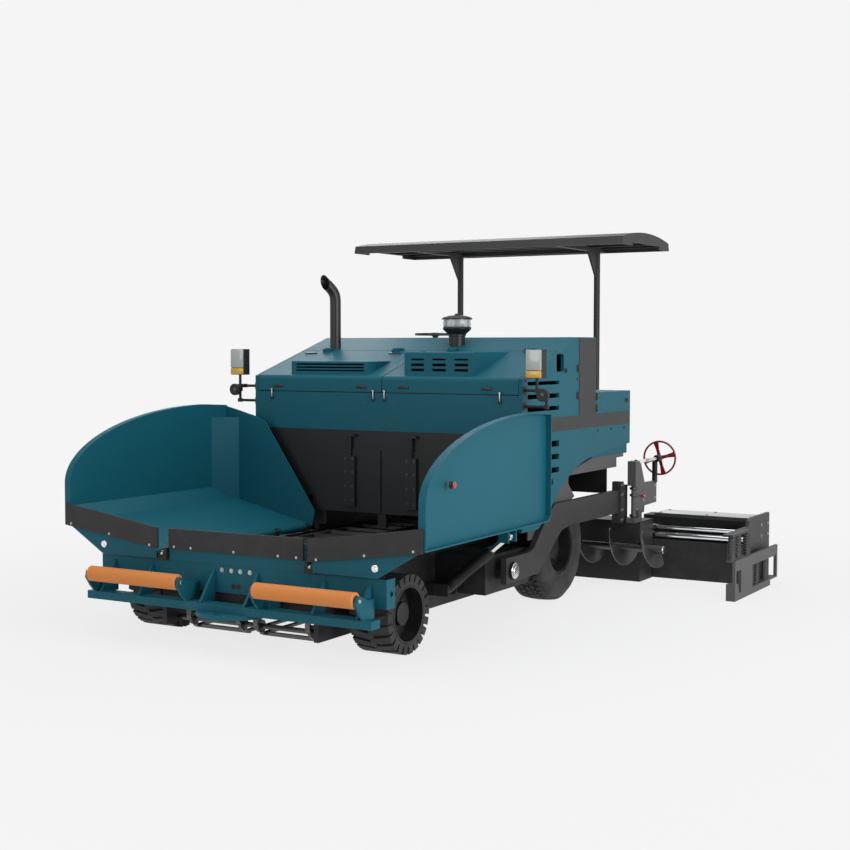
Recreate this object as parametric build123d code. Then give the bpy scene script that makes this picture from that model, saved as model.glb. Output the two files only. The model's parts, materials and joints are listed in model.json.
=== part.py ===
from build123d import *
import math
import os

# Wheeled asphalt paver.  Millimetres, +Z up, the machine faces -Y and its left side is +X.
# Every place is measured from the centreline (x), the front face of the hood (y) and the
# ground (z); save() then moves each piece so that y = 0 is the middle of the machine.

# ---------------------------------------------------------------- body and deck
body_half_width = 1300          # hood and side panels, to their outer faces
panel = 30                      # thickness of a body panel
seam = 8                        # gap round a lid
hood_floor_z = 1470             # lower edge of the hood's front face
hood_lip_z = 1919               # upper edge of the hood's front face
lid_seam_z = 1785               # where the lids end on the front face
lid_wall = 25
lid_lip = 40                    # radius of the lids' front edge
ridge_y = 1117                  # top of the slope
ridge_z = 2255
lid_hinge_y = 720               # rear edge of the lids on the slope
lid_pin = 6
lid_barrel = 12
lid_hinge_x = (280, 1010)       # middles of a lid's two hinges
lid_hinge_length = 90
body_rear_y = 2240
rear_box_top_z = 1775
rear_box_width = 420
column_y = (1090, 1440)         # front and rear of the grey side column
deck_z = 1250                   # operator's floor
deck_thickness = 50
rear_deck_y = 2800              # rear edge of the operator's floor
rear_deck_half_width = 850
rear_wall_z = 1700              # top of the wall behind the seats
stripe_z = (1475, 1590)         # grey band along the body
trim = 4                        # thickness of what is laid on a panel

# raised boxes on the lids: x limits, front face, top, depth back to where the top meets the slope
box_wall = 15
left_box_x = (185, 833)
left_box_top = 2128
right_box_x = (-956, -168)
right_box_top = 2048
box_front_y = 60
left_slots_x = ((246, 371), (446, 576), (655, 783))
left_slots_z = ((1969, 1991), (2011, 2034), (2059, 2074))
right_slots_z = ((1962, 1976), (1988, 2002), (2014, 2028))

# louvres in the body sides: (y limits), (z limits)
side_slots = (((94, 687), (1863, 1893)), ((94, 687), (1753, 1790)), ((94, 687), (1652, 1687)),
              ((500, 693), (1350, 1400)), ((500, 693), (1245, 1290)), ((500, 693), (1135, 1180)),
              ((500, 580), (1041, 1085)))
side_window = ((633, 777), (1966, 2113))
window_corner = 22

# ---------------------------------------------------------------- frame and front end
frame_half_width = 700          # outer faces of the two main beams
frame_beam = 40
frame_z = (110, 600)
frame_rear_y = 1880             # rear of the low beams, ahead of the augers
frame_tail_y = 2150             # rear of the high beams, above the augers
front_plate_y = -1980           # front face of the cross plate behind the push rollers
plate = 20                      # thickness of the front cross plate
frame_front_y = front_plate_y + plate
cross_member = 80
bed_thickness = 30              # plate under the conveyors' top run
bed_gap = 18
bed_inset = 130                 # from the conveyors' ends to the bed's, past the sprockets

front_plate_half_width = 1268
front_plate_z = (397, frame_z[1])
bumper_half_width = 1257
bumper_front_y = -2157
bumper_depth = 110
bumper_z = (285, 343)
bracket = 20                    # thickness of the rollers' brackets and of the gussets
hitch_radius = 285              # half disc of the front towing plate
hitch_thickness = 30
hitch_bore = 26
hitch_bore_y = -2195
hitch_gusset_x = 185
tie_down_bore = 20

roller_y = -2210
roller_z = 485
roller_radius = 57
roller_x = (340, 1170)
roller_pin = 15
running_gap = 0.3               # radial or axial gap of a turning or sliding fit

# ---------------------------------------------------------------- hopper
hinge_x = frame_half_width - frame_beam
hinge_z = frame_z[1] + 45
hinge_pin = 15
hinge_tube = 30
hinge_lug = 30
hopper_half_width = 1600
hopper_front_y = -2030
hopper_rear_y = -95
rim_width = 45                  # flange round the outer wall
rim_plate = 10
wing_plate = 12
wing_wall_x = hopper_half_width - rim_width
wing_floor_in_z = hinge_z + 27  # top of the wing floor at its inner edge
wing_floor_out = (hopper_half_width - 150, hinge_z + 205)    # where the floor meets the corner strip
wing_wall_foot_z = hinge_z + 308                             # where the corner strip meets the outer wall
wing_side_low_z = 815
wing_nose_z = 1125
wing_top_z = 1675
wing_crest_y = -400
wing_apron_z = 612              # lower edge of the wing's front plate
corner_plate = (140, 203)       # plan size of the plate across the rear corner
corner_plate_z = 1555
flap = 20                       # thickness of the rubber flaps
flap_height = 155
flap_inner_z = hinge_z + 196    # top of a wing's flap at its two ends
flap_outer_z = hinge_z + 326
sill_y = (hopper_front_y + 45, hopper_front_y + 60)          # behind the folding wings' front plates
sill_z = 800

wall_y = (2, 40)                # bulkhead between hopper and engine
tunnel_x = (40, 560)
tunnel_top_z = 830
gate_plate = 12
gate_z = (780, 1310)
gate_post = (26, 425)           # depth and height of the post on a gate
gate_post_width = 104
gate_rod = 12

cylinder_y = -450               # wing cylinders: from the frame up to ears under the wing
cylinder_base = (frame_half_width + 185, 296)
cylinder_tip = (hopper_half_width - 198, hinge_z + 87)
cylinder_pin = 18
barrel_radius = 45
barrel_length = 480
piston_rod = 25
ear_plate = 22

# ---------------------------------------------------------------- conveyors
conveyor_top_z = frame_z[1]
conveyor_low_z = 75
conveyor_y = (-1860, 1870)
strand = (40, 18)               # width and thickness of a chain strand
strand_x = (60, 515)            # inner faces of a conveyor's two strands
strand_corner = 90
slat_pitch = 250
slat = (30, 26)                 # along y and height
slat_rise = 8
sprocket_radius = 50
sprocket_sides = 8
conveyor_shaft = 20

# ---------------------------------------------------------------- wheels
front_wheel_y = -1520
front_tyre_radius = 285
front_rim_radius = 205
front_wheel_x = (850, 1170)
lugs = 15                       # blocks on each side of a front tyre's tread
groove_depth = 28
groove_slant = 14               # degrees from straight across
groove_share = 0.86             # of a facet's width
groove_reach = 30               # how far the grooves pass the middle of the tread
front_spindle_end = front_wheel_x[1] - 70
kingpin_x = 868
kingpin = 26
spindle = 34
rim_wall = 14
axle_depth = 110
axle_height = 90
knuckle_ear = 22
knuckle_half = 60

rear_wheel_y = 1018
rear_tyre_radius = 464
rear_rim_radius = 228
rear_wheel_x = (838, 1188)
rear_tyre_sides = 36
rear_spindle = 60
rear_spindle_end = rear_wheel_x[1] - 110
rear_hub = 190
rear_rim_wall = 16

# ---------------------------------------------------------------- tow arms and augers
arm_x = (body_half_width - 85, body_half_width - 38)         # between the wheel and the side panel
arm_pivot_y = -79
arm_pivot_z = 411
arm_pivot_pin = 32
arm_pivot_boss = 75
arm_end_y = 2150
arm_level_z = (655, 865)
arm_flange_y = arm_end_y - 70   # the bolted joint at the arm's rear end
arm_flange_z = (560, 940)
arm_lift_gap = 80               # ahead of the flange, where it rises under the fender
fender_z = 1085
fender_plate = 20
fender_front_y = 983
fender_rear_y = 2160

auger_y = 2075
auger_z = 345
auger_radius = 165
auger_shaft = 35
gearbox_half_width = 140
auger_wall_z = 760              # lower edge of the plate above the augers
auger_x = (gearbox_half_width + running_gap, 1700)
auger_pitch = 310
flight = 12
flight_steps = 12               # flat facets in a turn of the flight

# ---------------------------------------------------------------- screed
screed_half_width = 1390
screed_front_y = 2290
screed_rear_y = 2600
screed_top_z = 560
screed_plate = 15
extension_x = (1250, 2405)
extension_front_y = 2625
extension_rear_y = 2950
extension_mold_z = 365          # top of the extension's front plate
extension_shelf = 110
cover_z = (580, 612)
tube_low = (2665, 405, 30)      # y, z and radius of a guide tube
tube_high = (2668, 480, 22)
end_wall = 30
guide_x = (1210, 1370)          # blocks on the screed that guide the tubes
guide_z = (370, 520)
guide_depth = 112
hanger_y = 1690                 # front of the arm that carries the end gate's springs
gate_x = (extension_x[1], 2486)
gate_y = (1705, 2728)
gate_bar_z = (255, 350)
gate_panel = 25
gate_rear_y = 2948
ski_z = 60
ski_nose = (85, 145)            # length and height of the ski's front block
spring_y = (1740, 1890, 2150)
spring_radius = 30
low_spring_y = (2290, 2440, 2700)
gate_plate_y = ((1873, 2191), (2585, 2600))                  # upright plates between ski and bar
spring_top_z = 552

jack_x = (1310, 1390)
jack_y = (2150, 2330)
jack_screw_y = 2220
jack_screw = 22
jack_top_z = 1125
wheel_y = 2880                  # screed handwheels
wheel_z = 1112
wheel_rim = 165
wheel_rim_bar = 22
wheel_sides = 24
wheel_shaft = 16

# ---------------------------------------------------------------- engine side and operator's place
exhaust_place = (315 - body_half_width, 790)
exhaust_radius = 50
exhaust_wall = 5
exhaust_path = ((0, 0, 2770), (-22, -32, 2835), (-90, -130, 2885))    # from the foot: dx, dy and z
cleaner_place = (215, 905)
cleaner_stack = ((75, 110), (118, 90), (128, 28), (140, 34))          # radius and height from the foot up
engine_x = 450
engine_y = (150, 1250)
engine_z = (1000, 1750)
bearer_z = 940

canopy_half_width = 1407
canopy_y = (1760, 2925)
canopy_z = (3085, 3215)
canopy_skin = 20
canopy_edge = 40                # depth of the roof's long edges
canopy_notch = 250              # from the ends of the roof to the shallow part of its end plates
roof_inner_z = 3135             # ceiling inside the roof, which the frame carries
post_x = 750
post_y = 2730
post = 60
rail = 50

lamp_x = (1368, 1505)
lamp_y = (-85, 20)
lamp_z = (1925, 2150)
lamp_post_x = 1442
lamp_arm_z = 1828
horn_x = 1494
horn_z = 1795
horn_arm_z = 1700
horn_radius = 50
lamp_tube = 12
lamp_elbow = 16                 # half the side of the blocks at the tubes' bends
lamp_tube_y = 35
lamp_foot = 30                  # half the side of the square foot plates
lamp_foot_plate = 8
horn_y = (-45, -15)

console_x = (-620, -160)
console_y = (1450, 1780)
console_top_z = 2080
steering_place = (-400, 1600, 2290)
steering_rim = 180
steering_bar = 22
seat_x = (-400, 400)
seat_half = 230
seat_y = (2150, 2640)
seat_z = 1670
cushion = 100
seat_back_z = 2150
pedestal_half = 60

# ---------------------------------------------------------------- place of the origin
front_y = roller_y - roller_radius
rear_y = extension_rear_y
origin_y = (front_y + rear_y) / 2

os.makedirs("parts", exist_ok=True)


# ---------------------------------------------------------------- small helpers
def block(x, y, z):
    """A box between pairs of limits."""
    size = (x[1] - x[0], y[1] - y[0], z[1] - z[0])
    centre = ((x[0] + x[1]) / 2, (y[0] + y[1]) / 2, (z[0] + z[1]) / 2)
    return Pos(*centre) * Box(*size)


def rod_x(radius, x, y, z):
    return Pos((x[0] + x[1]) / 2, y, z) * Rot(0, 90, 0) * Cylinder(radius, x[1] - x[0])


def rod_y(radius, x, y, z):
    return Pos(x, (y[0] + y[1]) / 2, z) * Rot(90, 0, 0) * Cylinder(radius, y[1] - y[0])


def rod_z(radius, x, y, z):
    return Pos(x, y, (z[0] + z[1]) / 2) * Cylinder(radius, z[1] - z[0])


def side_plane(x):
    """The plane at x whose own axes are the machine's y and z."""
    return Plane(origin=(x, 0, 0), x_dir=(0, 1, 0), z_dir=(1, 0, 0))


def side_plate(outline, x):
    """An outline of (y, z) points given a thickness between two x values."""
    return extrude(side_plane(x[0]) * make_face(Polyline(*outline, close=True)), x[1] - x[0])


def cross_plate(outline, y):
    """An outline of (x, z) points given a thickness between two y values."""
    plane = Plane(origin=(0, y[1], 0), x_dir=(1, 0, 0), z_dir=(0, -1, 0))
    return extrude(plane * make_face(Polyline(*outline, close=True)), y[1] - y[0])


def flat_plate(outline, z):
    """An outline of (x, y) points given a thickness between two z values."""
    plane = Plane(origin=(0, 0, z[0]))
    return extrude(plane * make_face(Polyline(*outline, close=True)), z[1] - z[0])


def prism_x(radius, sides, x, y, z):
    """A regular prism along x that stands on one of its corners."""
    face = side_plane(x[0]) * Pos(y, z) * RegularPolygon(radius, sides, rotation=-90)
    return extrude(face, x[1] - x[0])


def ring(radius, bar, sides):
    """A hand rim of square bar, bent to a many-sided ring about z."""
    outer = RegularPolygon(radius + bar / 2, sides)
    inner = RegularPolygon(radius - bar / 2, sides)
    return Pos(0, 0, -bar / 2) * extrude(outer - inner, bar)


def mirrored(x, side):
    """A pair of x limits, on the left (1) or on the right (-1)."""
    return sorted((side * x[0], side * x[1]))


def other_side(shape):
    return mirror(shape, about=Plane.YZ)


def both(shape):
    return shape + other_side(shape)


def save(name, *shapes):
    """Write one node: its shapes are moved to the machine's own frame and kept as solids."""
    moved = []
    for shape in shapes:
        placed = Pos(0, -origin_y, 0) * shape
        moved.extend(placed.solids())
    export_step(Compound(children=moved), f"parts/{name}.step")


def save_pair(name, shape):
    """Write a left-hand piece and its mirror image as two nodes."""
    save(f"{name}_left", shape)
    save(f"{name}_right", other_side(shape))


def slope_z(y):
    """Height of the hood's sloping top."""
    return hood_lip_z + (ridge_z - hood_lip_z) * y / ridge_y


def slope_y(z):
    """Where the hood's sloping top reaches a height."""
    return (z - hood_lip_z) * ridge_y / (ridge_z - hood_lip_z)


# ---------------------------------------------------------------- frame and axles
def hinge_lugs():
    """Where the frame's hinge lugs start along y."""
    first = frame_front_y + 10
    last = hopper_rear_y - 60
    return [first + (last - first) * i / 4 for i in range(5)]


def cylinder_ears(thickness):
    """The two y ranges of the ears that hold an eye of a wing cylinder."""
    inner = barrel_radius + 7
    outer = inner + thickness
    return ((cylinder_y - outer, cylinder_y - inner), (cylinder_y + inner, cylinder_y + outer))


def arm_mounting():
    """The left side box with the tow arm's pin and the foot of the wing cylinder."""
    outer = arm_x[0] - 65
    side = block((frame_half_width, outer), (-330, 430), (240, 540))
    foot = (cylinder_base[1] - 56, cylinder_base[1] + 34)
    side += block((frame_half_width, cylinder_base[0] - 65), (cylinder_y - 85, -330), foot)
    for y in cylinder_ears(ear_plate):
        side += block((cylinder_base[0] - 65, cylinder_base[0] + 40), y, foot)
    pin_y = (cylinder_y - 80, cylinder_y + 80)
    side += rod_y(cylinder_pin, cylinder_base[0], pin_y, cylinder_base[1])
    side += rod_x(arm_pivot_pin, (outer, arm_x[1] + 24), arm_pivot_y, arm_pivot_z)
    side += rod_x(arm_pivot_boss, (outer, arm_x[0] - 5), arm_pivot_y, arm_pivot_z)
    side += rod_x(arm_pivot_boss - 5, (arm_x[1] + 5, arm_x[1] + 24), arm_pivot_y, arm_pivot_z)
    return side


def hinge_line():
    """The left wing's hinge pin on its lugs, with the bearing block at its front end."""
    front = (hopper_front_y + 18, frame_front_y + 5)
    line = rod_y(hinge_pin, hinge_x, (front[0] + 4, hopper_rear_y - 20), hinge_z)
    for y in hinge_lugs():
        line += block((hinge_x - 25, frame_half_width), (y, y + hinge_lug), (frame_z[1], hinge_z + 5))
    bearing = [(hinge_x - 45, frame_z[1]), (frame_half_width, frame_z[1]), (frame_half_width, hinge_z + 5),
               (hinge_x - 16, hinge_z + 5), (hinge_x - 16, hinge_z + 42), (hinge_x - 45, hinge_z + 42)]
    return line + cross_plate(bearing, front)


def main_frame():
    inner = frame_half_width - frame_beam
    beam_x = (inner, frame_half_width)
    beam = block(beam_x, (frame_front_y, frame_rear_y), frame_z)
    beam += block(beam_x, (wall_y[1], frame_tail_y), (frame_z[1], deck_z - deck_thickness))
    beam -= block(beam_x, (front_wheel_y - axle_depth / 2, front_wheel_y + axle_depth / 2),
                  (front_tyre_radius - axle_height / 2, front_tyre_radius + axle_height / 2))
    frame = both(beam)
    members = []
    for y in (frame_front_y, -600, 400, frame_rear_y - 230):
        members.append(block((-inner, inner), (y, y + cross_member), (250, frame_z[1] - 60)))
    for y in (engine_y[0] + 150, engine_y[1] - 250):
        members.append(block((-inner, inner), (y, y + cross_member), (bearer_z, engine_z[0])))
    bed_top = conveyor_top_z - bed_gap
    bed_y = (conveyor_y[0] + bed_inset, conveyor_y[1] - bed_inset)
    members.append(block((-inner, inner), bed_y, (bed_top - bed_thickness, bed_top)))
    return frame + members + both(arm_mounting() + hinge_line())


def front_axle():
    low = front_tyre_radius - knuckle_half
    high = front_tyre_radius + knuckle_half
    half = kingpin_x - 40
    beam = block((-half, half), (front_wheel_y - axle_depth / 2, front_wheel_y + axle_depth / 2),
                 (front_tyre_radius - axle_height / 2, front_tyre_radius + axle_height / 2))
    for side in (1, -1):
        beam += rod_z(50, side * kingpin_x, front_wheel_y, (low, high))
        beam -= rod_z(kingpin + running_gap, side * kingpin_x, front_wheel_y, (low - 10, high + 10))
    return beam


def knuckle():
    low = front_tyre_radius - knuckle_half - 1
    high = front_tyre_radius + knuckle_half + 1
    x = (kingpin_x - 45, kingpin_x + 80)
    y = (front_wheel_y - 45, front_wheel_y + 45)
    part = block(x, y, (high, high + knuckle_ear)) + block(x, y, (low - knuckle_ear, low))
    part += block((kingpin_x + 56, kingpin_x + 80), y, (low - knuckle_ear, high + knuckle_ear))
    part += rod_z(kingpin, kingpin_x, front_wheel_y, (low - 1, high + 1))
    part += rod_x(spindle, (kingpin_x + 75, front_spindle_end), front_wheel_y, front_tyre_radius)
    return part


def front_tyre():
    """A solid rubber tyre: a many-sided ring whose every other facet is cut to a groove on each side."""
    x0, x1 = front_wheel_x
    sides = 2 * lugs
    tyre = prism_x(front_tyre_radius, sides, front_wheel_x, front_wheel_y, front_tyre_radius)
    step = 360 / sides
    middle = (x0 + x1) / 2
    flat = front_tyre_radius * math.cos(math.radians(step / 2))
    width = 2 * front_tyre_radius * math.sin(math.radians(step / 2)) * groove_share
    grooves = []
    for i in range(sides):
        outward = 1 if i % 2 else -1
        edge = x1 if outward > 0 else x0
        reach = abs(edge - middle) + groove_reach
        slant = Pos(edge - outward * reach / 2, 0, flat) * Rot(0, 0, outward * groove_slant)
        groove = slant * Box(reach + 20, width, 2 * groove_depth)
        turn = Pos(0, front_wheel_y, front_tyre_radius) * Rot((i + 0.5) * step, 0, 0)
        grooves.append(turn * groove)
    tyre -= grooves
    return tyre - rod_x(front_rim_radius, (x0 - 1, x1 + 1), front_wheel_y, front_tyre_radius)


def wheel_disc(radius, hub, disc, spindle_end, bore, place):
    """A wheel's disc and hub, bored from the inner side to just past the end of its spindle."""
    part = rod_x(radius, disc, *place)
    part += rod_x(hub, (disc[0] - 30, spindle_end + 20), *place)
    return part - rod_x(bore, (disc[0] - 200, spindle_end + 1), *place)


def front_rim():
    x0, x1 = front_wheel_x
    place = (front_wheel_y, front_tyre_radius)
    rim = rod_x(front_rim_radius, (x0, x1), *place)
    rim -= rod_x(front_rim_radius - rim_wall, (x0 - 1, x1 + 1), *place)
    disc = (x1 - 145, x1 - 120)
    return rim + wheel_disc(front_rim_radius - 5, 80, disc, front_spindle_end, spindle + running_gap, place)


def rear_axle():
    place = (rear_wheel_y, rear_tyre_radius)
    inner = frame_half_width - frame_beam
    shafts = []
    for side in (1, -1):
        shafts.append(rod_x(rear_hub, mirrored((frame_half_width, rear_wheel_x[0] + 60), side), *place))
        shafts.append(rod_x(rear_spindle, mirrored((rear_wheel_x[0] + 50, rear_spindle_end), side), *place))
    return rod_x(85, (-inner, inner), *place) + shafts


def rear_tyre():
    """The drive tyre's carcass: prisms whose size steps from bead to shoulder to crown by lofts."""
    x0, x1 = rear_wheel_x
    # radius and distance from the tyre's side, from the bead to the crown
    steps = ((rear_rim_radius + 22, 14), (rear_tyre_radius - 110, 0), (rear_tyre_radius - 42, 10),
             (rear_tyre_radius - 8, 44), (rear_tyre_radius, 110))
    faces = []
    for radius, inset in steps:
        faces.append(polygon_at(radius, x0 + inset))
    for radius, inset in reversed(steps):
        faces.append(polygon_at(radius, x1 - inset))
    tyre = loft(faces, ruled=True)
    return tyre - rod_x(rear_rim_radius, (x0 - 1, x1 + 1), rear_wheel_y, rear_tyre_radius)


def polygon_at(radius, x):
    """A section of the drive tyre at x."""
    centre = Pos(rear_wheel_y, rear_tyre_radius)
    return side_plane(x) * centre * RegularPolygon(radius, rear_tyre_sides, rotation=-90)


def rear_rim():
    x0, x1 = rear_wheel_x
    place = (rear_wheel_y, rear_tyre_radius)
    rim = rod_x(rear_rim_radius, (x0 + 25, x1 - 25), *place)
    rim -= rod_x(rear_rim_radius - rear_rim_wall, (x0, x1), *place)
    disc = (x1 - 150, x1 - 130)
    return rim + wheel_disc(rear_rim_radius - 5, 105, disc, rear_spindle_end, rear_spindle + running_gap, place)


# ---------------------------------------------------------------- front end
def roller_bracket(outline, x):
    """The two plates at x that hold a roller's end, on the left and on the right."""
    return [side_plate(outline, mirrored((x, x + bracket), side)) for side in (1, -1)]


def front_bumper():
    y0, y1 = front_plate_y, frame_front_y
    z0, z1 = front_plate_z
    w = front_plate_half_width
    part = block((-w, w), (y0, y1), front_plate_z)
    bar_y = (bumper_front_y, bumper_front_y + bumper_depth)
    part += block((-bumper_half_width, bumper_half_width), bar_y, bumper_z)
    pieces = [block(mirrored((w - 15, w), side), (y0, y0 + 110), front_plate_z) for side in (1, -1)]
    # sloping gussets from the plate down to the bumper bar
    low, high = bumper_z
    toe = bumper_front_y + 8
    gusset = [(y0, z1 - 30), (toe, high + 4), (toe, low + 6), (y0 - 40, low + 6), (y0, z0)]
    for x in (hitch_gusset_x, 760, 1125):
        pieces += roller_bracket(gusset, x)
    # brackets of the push rollers: (y, z) outlines from the roller's eye back to the bar
    inner = [(-2248, 462), (-2240, 508), (-2206, 522), (-2054, 449), (-2047, 340), (-2150, 340), (-2200, 390)]
    outer = [(-2248, 461), (-2236, 508), (-2190, 515), (-2047, 446), (-2047, 340), (-2150, 340), (-2200, 390)]
    pieces += roller_bracket(inner, roller_x[0] - 26) + roller_bracket(outer, roller_x[1] + 6)
    for side in (1, -1):
        for x in ((roller_x[0] - 10, roller_x[0] + 50), (roller_x[1] - 60, roller_x[1])):
            pieces.append(block(mirrored(x, side), (bumper_front_y + 60, y0), (high - 8, z0 + 70)))
    disc = rod_z(hitch_radius, 0, y0, (low - hitch_thickness, low))
    disc &= block((-hitch_radius, hitch_radius), (y0 - hitch_radius, y0), (low - hitch_thickness, low))
    pieces.append(disc)
    part += pieces
    part -= rod_z(hitch_bore, 0, hitch_bore_y, (low - hitch_thickness - 1, high + 1))
    for side in (1, -1):
        eye = mirrored((roller_x[0] - 30, roller_x[1] + 30), side)
        part -= rod_x(roller_pin + running_gap, eye, roller_y, roller_z)
        part -= rod_x(tie_down_bore, mirrored((w - 16, w + 1), side), y0 + 65, z0 + 100)
    return part


def push_roller():
    roller = rod_x(roller_radius, roller_x, roller_y, roller_z)
    roller = chamfer(roller.edges().filter_by(GeomType.CIRCLE), 6)
    return roller + rod_x(roller_pin, (roller_x[0] - 24, roller_x[1] + 24), roller_y, roller_z)


def centre_flap():
    x = hinge_x - 60
    top = flap_inner_z
    outline = [(-x, top - 8), (x, top), (x, top - flap_height), (-x, top - flap_height)]
    return cross_plate(outline, (sill_y[0] - flap, sill_y[0]))


def hopper_front():
    """Fixed centre of the hopper's front: a sill that carries the flap, and its shelf over the plate."""
    x = hinge_x - 50
    sill = block((-x, x), sill_y, (frame_z[1], sill_z))
    return sill + block((-x, x), (sill_y[1], conveyor_y[0] - 5), (frame_z[1], frame_z[1] + 12))


def strand_band():
    """One chain strand of a slat conveyor: a closed band with cut corners."""
    def loop(inset):
        y0, y1 = conveyor_y[0] + inset, conveyor_y[1] - inset
        z0, z1 = conveyor_low_z + inset, conveyor_top_z - inset
        c = strand_corner - inset / 2
        low, high = [(y0 + c, z0), (y1 - c, z0)], [(y1 - c, z1), (y0 + c, z1)]
        return low + [(y1, z0 + c), (y1, z1 - c)] + high + [(y0, z1 - c), (y0, z0 + c)]
    bands = []
    for x in strand_x:
        limits = (x, x + strand[0])
        bands.append(side_plate(loop(0), limits) - side_plate(loop(strand[1]), limits))
    return bands


def slat_conveyors():
    """Two slat conveyors side by side on shafts that the main beams hold."""
    outer, inner = strand_band()
    width = (strand_x[0], strand_x[1] + strand[0])
    run = (conveyor_y[0] + strand_corner + 20, conveyor_y[1] - strand_corner - 20)
    count = int((run[1] - run[0]) / slat_pitch)
    pieces = [inner]
    for i in range(count + 1):
        y = run[0] + i * slat_pitch
        z = conveyor_top_z - strand[1]
        pieces.append(block(width, (y, y + slat[0]), (z, z + slat[1])))
        if i % 3 == 0:
            z = conveyor_low_z - slat_rise
            pieces.append(block(width, (y, y + slat[0]), (z, z + slat[1])))
    reach = strand[1] + sprocket_radius
    beam = frame_half_width - frame_beam
    for y in (conveyor_y[0] + reach, conveyor_y[1] - reach):
        for z in (conveyor_low_z + reach, conveyor_top_z - reach):
            pieces.append(prism_x(conveyor_shaft, sprocket_sides, (0, beam), y, z))
            for x in strand_x:
                pieces.append(prism_x(sprocket_radius, sprocket_sides, (x + 8, x + strand[0] - 8), y, z))
    half = outer + pieces
    return half, other_side(half)


# ---------------------------------------------------------------- hopper wings
def wing_outline(x, inset):
    """The outer wall's outline, drawn in by an inset: a quarter ellipse from the crest to the nose."""
    front, rear = hopper_front_y + inset, hopper_rear_y - inset
    top, foot = wing_top_z - inset, wing_side_low_z + inset
    crest = EllipticalCenterArc((wing_crest_y, wing_nose_z), wing_crest_y - front, top - wing_nose_z,
                                start_angle=90, arc_size=90)
    rest = Polyline((wing_crest_y, top), (rear, top - 15), (rear, foot + 45), (rear - 50, foot + 8),
                    (front, foot), (front, wing_nose_z))
    return side_plane(x) * make_face([crest, rest])


def wing():
    w = wing_plate
    wall = wing_wall_x
    inside = wall - w
    fx, fz = wing_floor_out
    foot = wing_wall_foot_z
    tube = hinge_x + hinge_tube - 4
    # outer wall with the flange that runs all round it
    shell = extrude(wing_outline(inside, 0), hopper_half_width - inside)
    shell -= extrude(wing_outline(wall, rim_plate), rim_width + 1)
    # floor, corner strip, back plate and front apron
    section = [(tube, wing_floor_in_z), (fx, fz), (inside, foot), (inside, foot - w - 6), (fx + 2, fz - w),
               (tube, wing_floor_in_z - w)]
    back = [(hinge_x - 27, hinge_z + 5), (hinge_x - 55, hinge_z + 133),
            (hopper_half_width - 477, wing_top_z - 147), (hopper_half_width - 348, wing_top_z - 97),
            (wall, wing_top_z - 20), (wall, foot), (fx, fz), (hinge_x + 40, hinge_z + 15)]
    apron = [(hinge_x + 40, wing_apron_z), (hopper_half_width - 375, wing_apron_z), (wall, wing_side_low_z - 5),
             (wall, flap_outer_z - 8), (hinge_x + 40, flap_inner_z - 6)]
    shell += [cross_plate(section, (hopper_front_y, hopper_rear_y)),
              cross_plate(back, (hopper_rear_y - w, hopper_rear_y)),
              cross_plate(apron, (hopper_front_y, hopper_front_y + w))]
    # plate across the rear corner, with its small cap
    reach, depth = corner_plate
    rear = hopper_rear_y - w
    corner = flat_plate([(inside - reach, rear), (inside, rear - depth), (inside, rear - depth + 15),
                         (inside - reach + 10, rear)], (fz - 20, corner_plate_z))
    corner += flat_plate([(inside - reach, rear), (inside, rear - depth), (inside, rear)],
                         (corner_plate_z - 10, corner_plate_z))
    below = [(inside - reach - 10, fz - 60), (inside - reach - 10, fz - 17), (fx, fz - w / 2),
             (inside, foot - w / 2), (inside, fz - 60)]
    shell += corner - cross_plate(below, (rear - depth - 1, rear + 1))
    # hinge tubes between the frame's lugs
    lugs = hinge_lugs()
    tubes = []
    for a, b in zip(lugs[:-1], lugs[1:]):
        y = (a + 2 * hinge_lug, b - hinge_lug)
        tubes.append(rod_y(hinge_tube, hinge_x, y, hinge_z))
        tubes.append(block((hinge_x + 5, hinge_x + hinge_tube + 10), y, (hinge_z, wing_floor_in_z - 2)))
    shell += tubes
    shell -= rod_y(hinge_pin + running_gap, hinge_x, (hopper_front_y, hopper_rear_y + 1), hinge_z)
    tip_x, tip_z = cylinder_tip
    ear = [(tip_x - 42, tip_z - 42), (tip_x + 43, tip_z - 42), (tip_x + 43, fz - w / 2), (tip_x - 42, fz - 30)]
    return shell + [cross_plate(ear, y) for y in cylinder_ears(ear_plate - 2)]


def wing_flap():
    low, high = hinge_x + 10, hopper_half_width - 20
    outline = [(low, flap_inner_z), (high, flap_outer_z), (high, flap_outer_z - flap_height - 10),
               (low, flap_inner_z - flap_height)]
    return cross_plate(outline, (hopper_front_y - flap, hopper_front_y))


def along(start, stop, radius):
    """A rod on the wing cylinder's line, between two distances from its base."""
    length = math.dist(cylinder_base, cylinder_tip)
    ux = (cylinder_tip[0] - cylinder_base[0]) / length
    uz = (cylinder_tip[1] - cylinder_base[1]) / length
    place = (cylinder_base[0] + ux * start, cylinder_y, cylinder_base[1] + uz * start)
    return extrude(Plane(origin=place, z_dir=(ux, 0, uz)) * Circle(radius), stop - start)


def wing_barrel():
    half = barrel_radius + 5
    eye = rod_y(40, cylinder_base[0], (cylinder_y - half, cylinder_y + half), cylinder_base[1])
    body = along(20, barrel_length, barrel_radius)
    body += along(barrel_length - 1, barrel_length + 20, barrel_radius - 8)
    body -= along(60, barrel_length + 21, piston_rod + running_gap)
    return eye + body - rod_y(cylinder_pin + running_gap, cylinder_base[0], (cylinder_y - 90, cylinder_y + 90),
                              cylinder_base[1])


def wing_rod():
    length = math.dist(cylinder_base, cylinder_tip)
    eye = rod_y(34, cylinder_tip[0], (cylinder_y - 20, cylinder_y + 20), cylinder_tip[1])
    return eye + along(100, length - 10, piston_rod)


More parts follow.
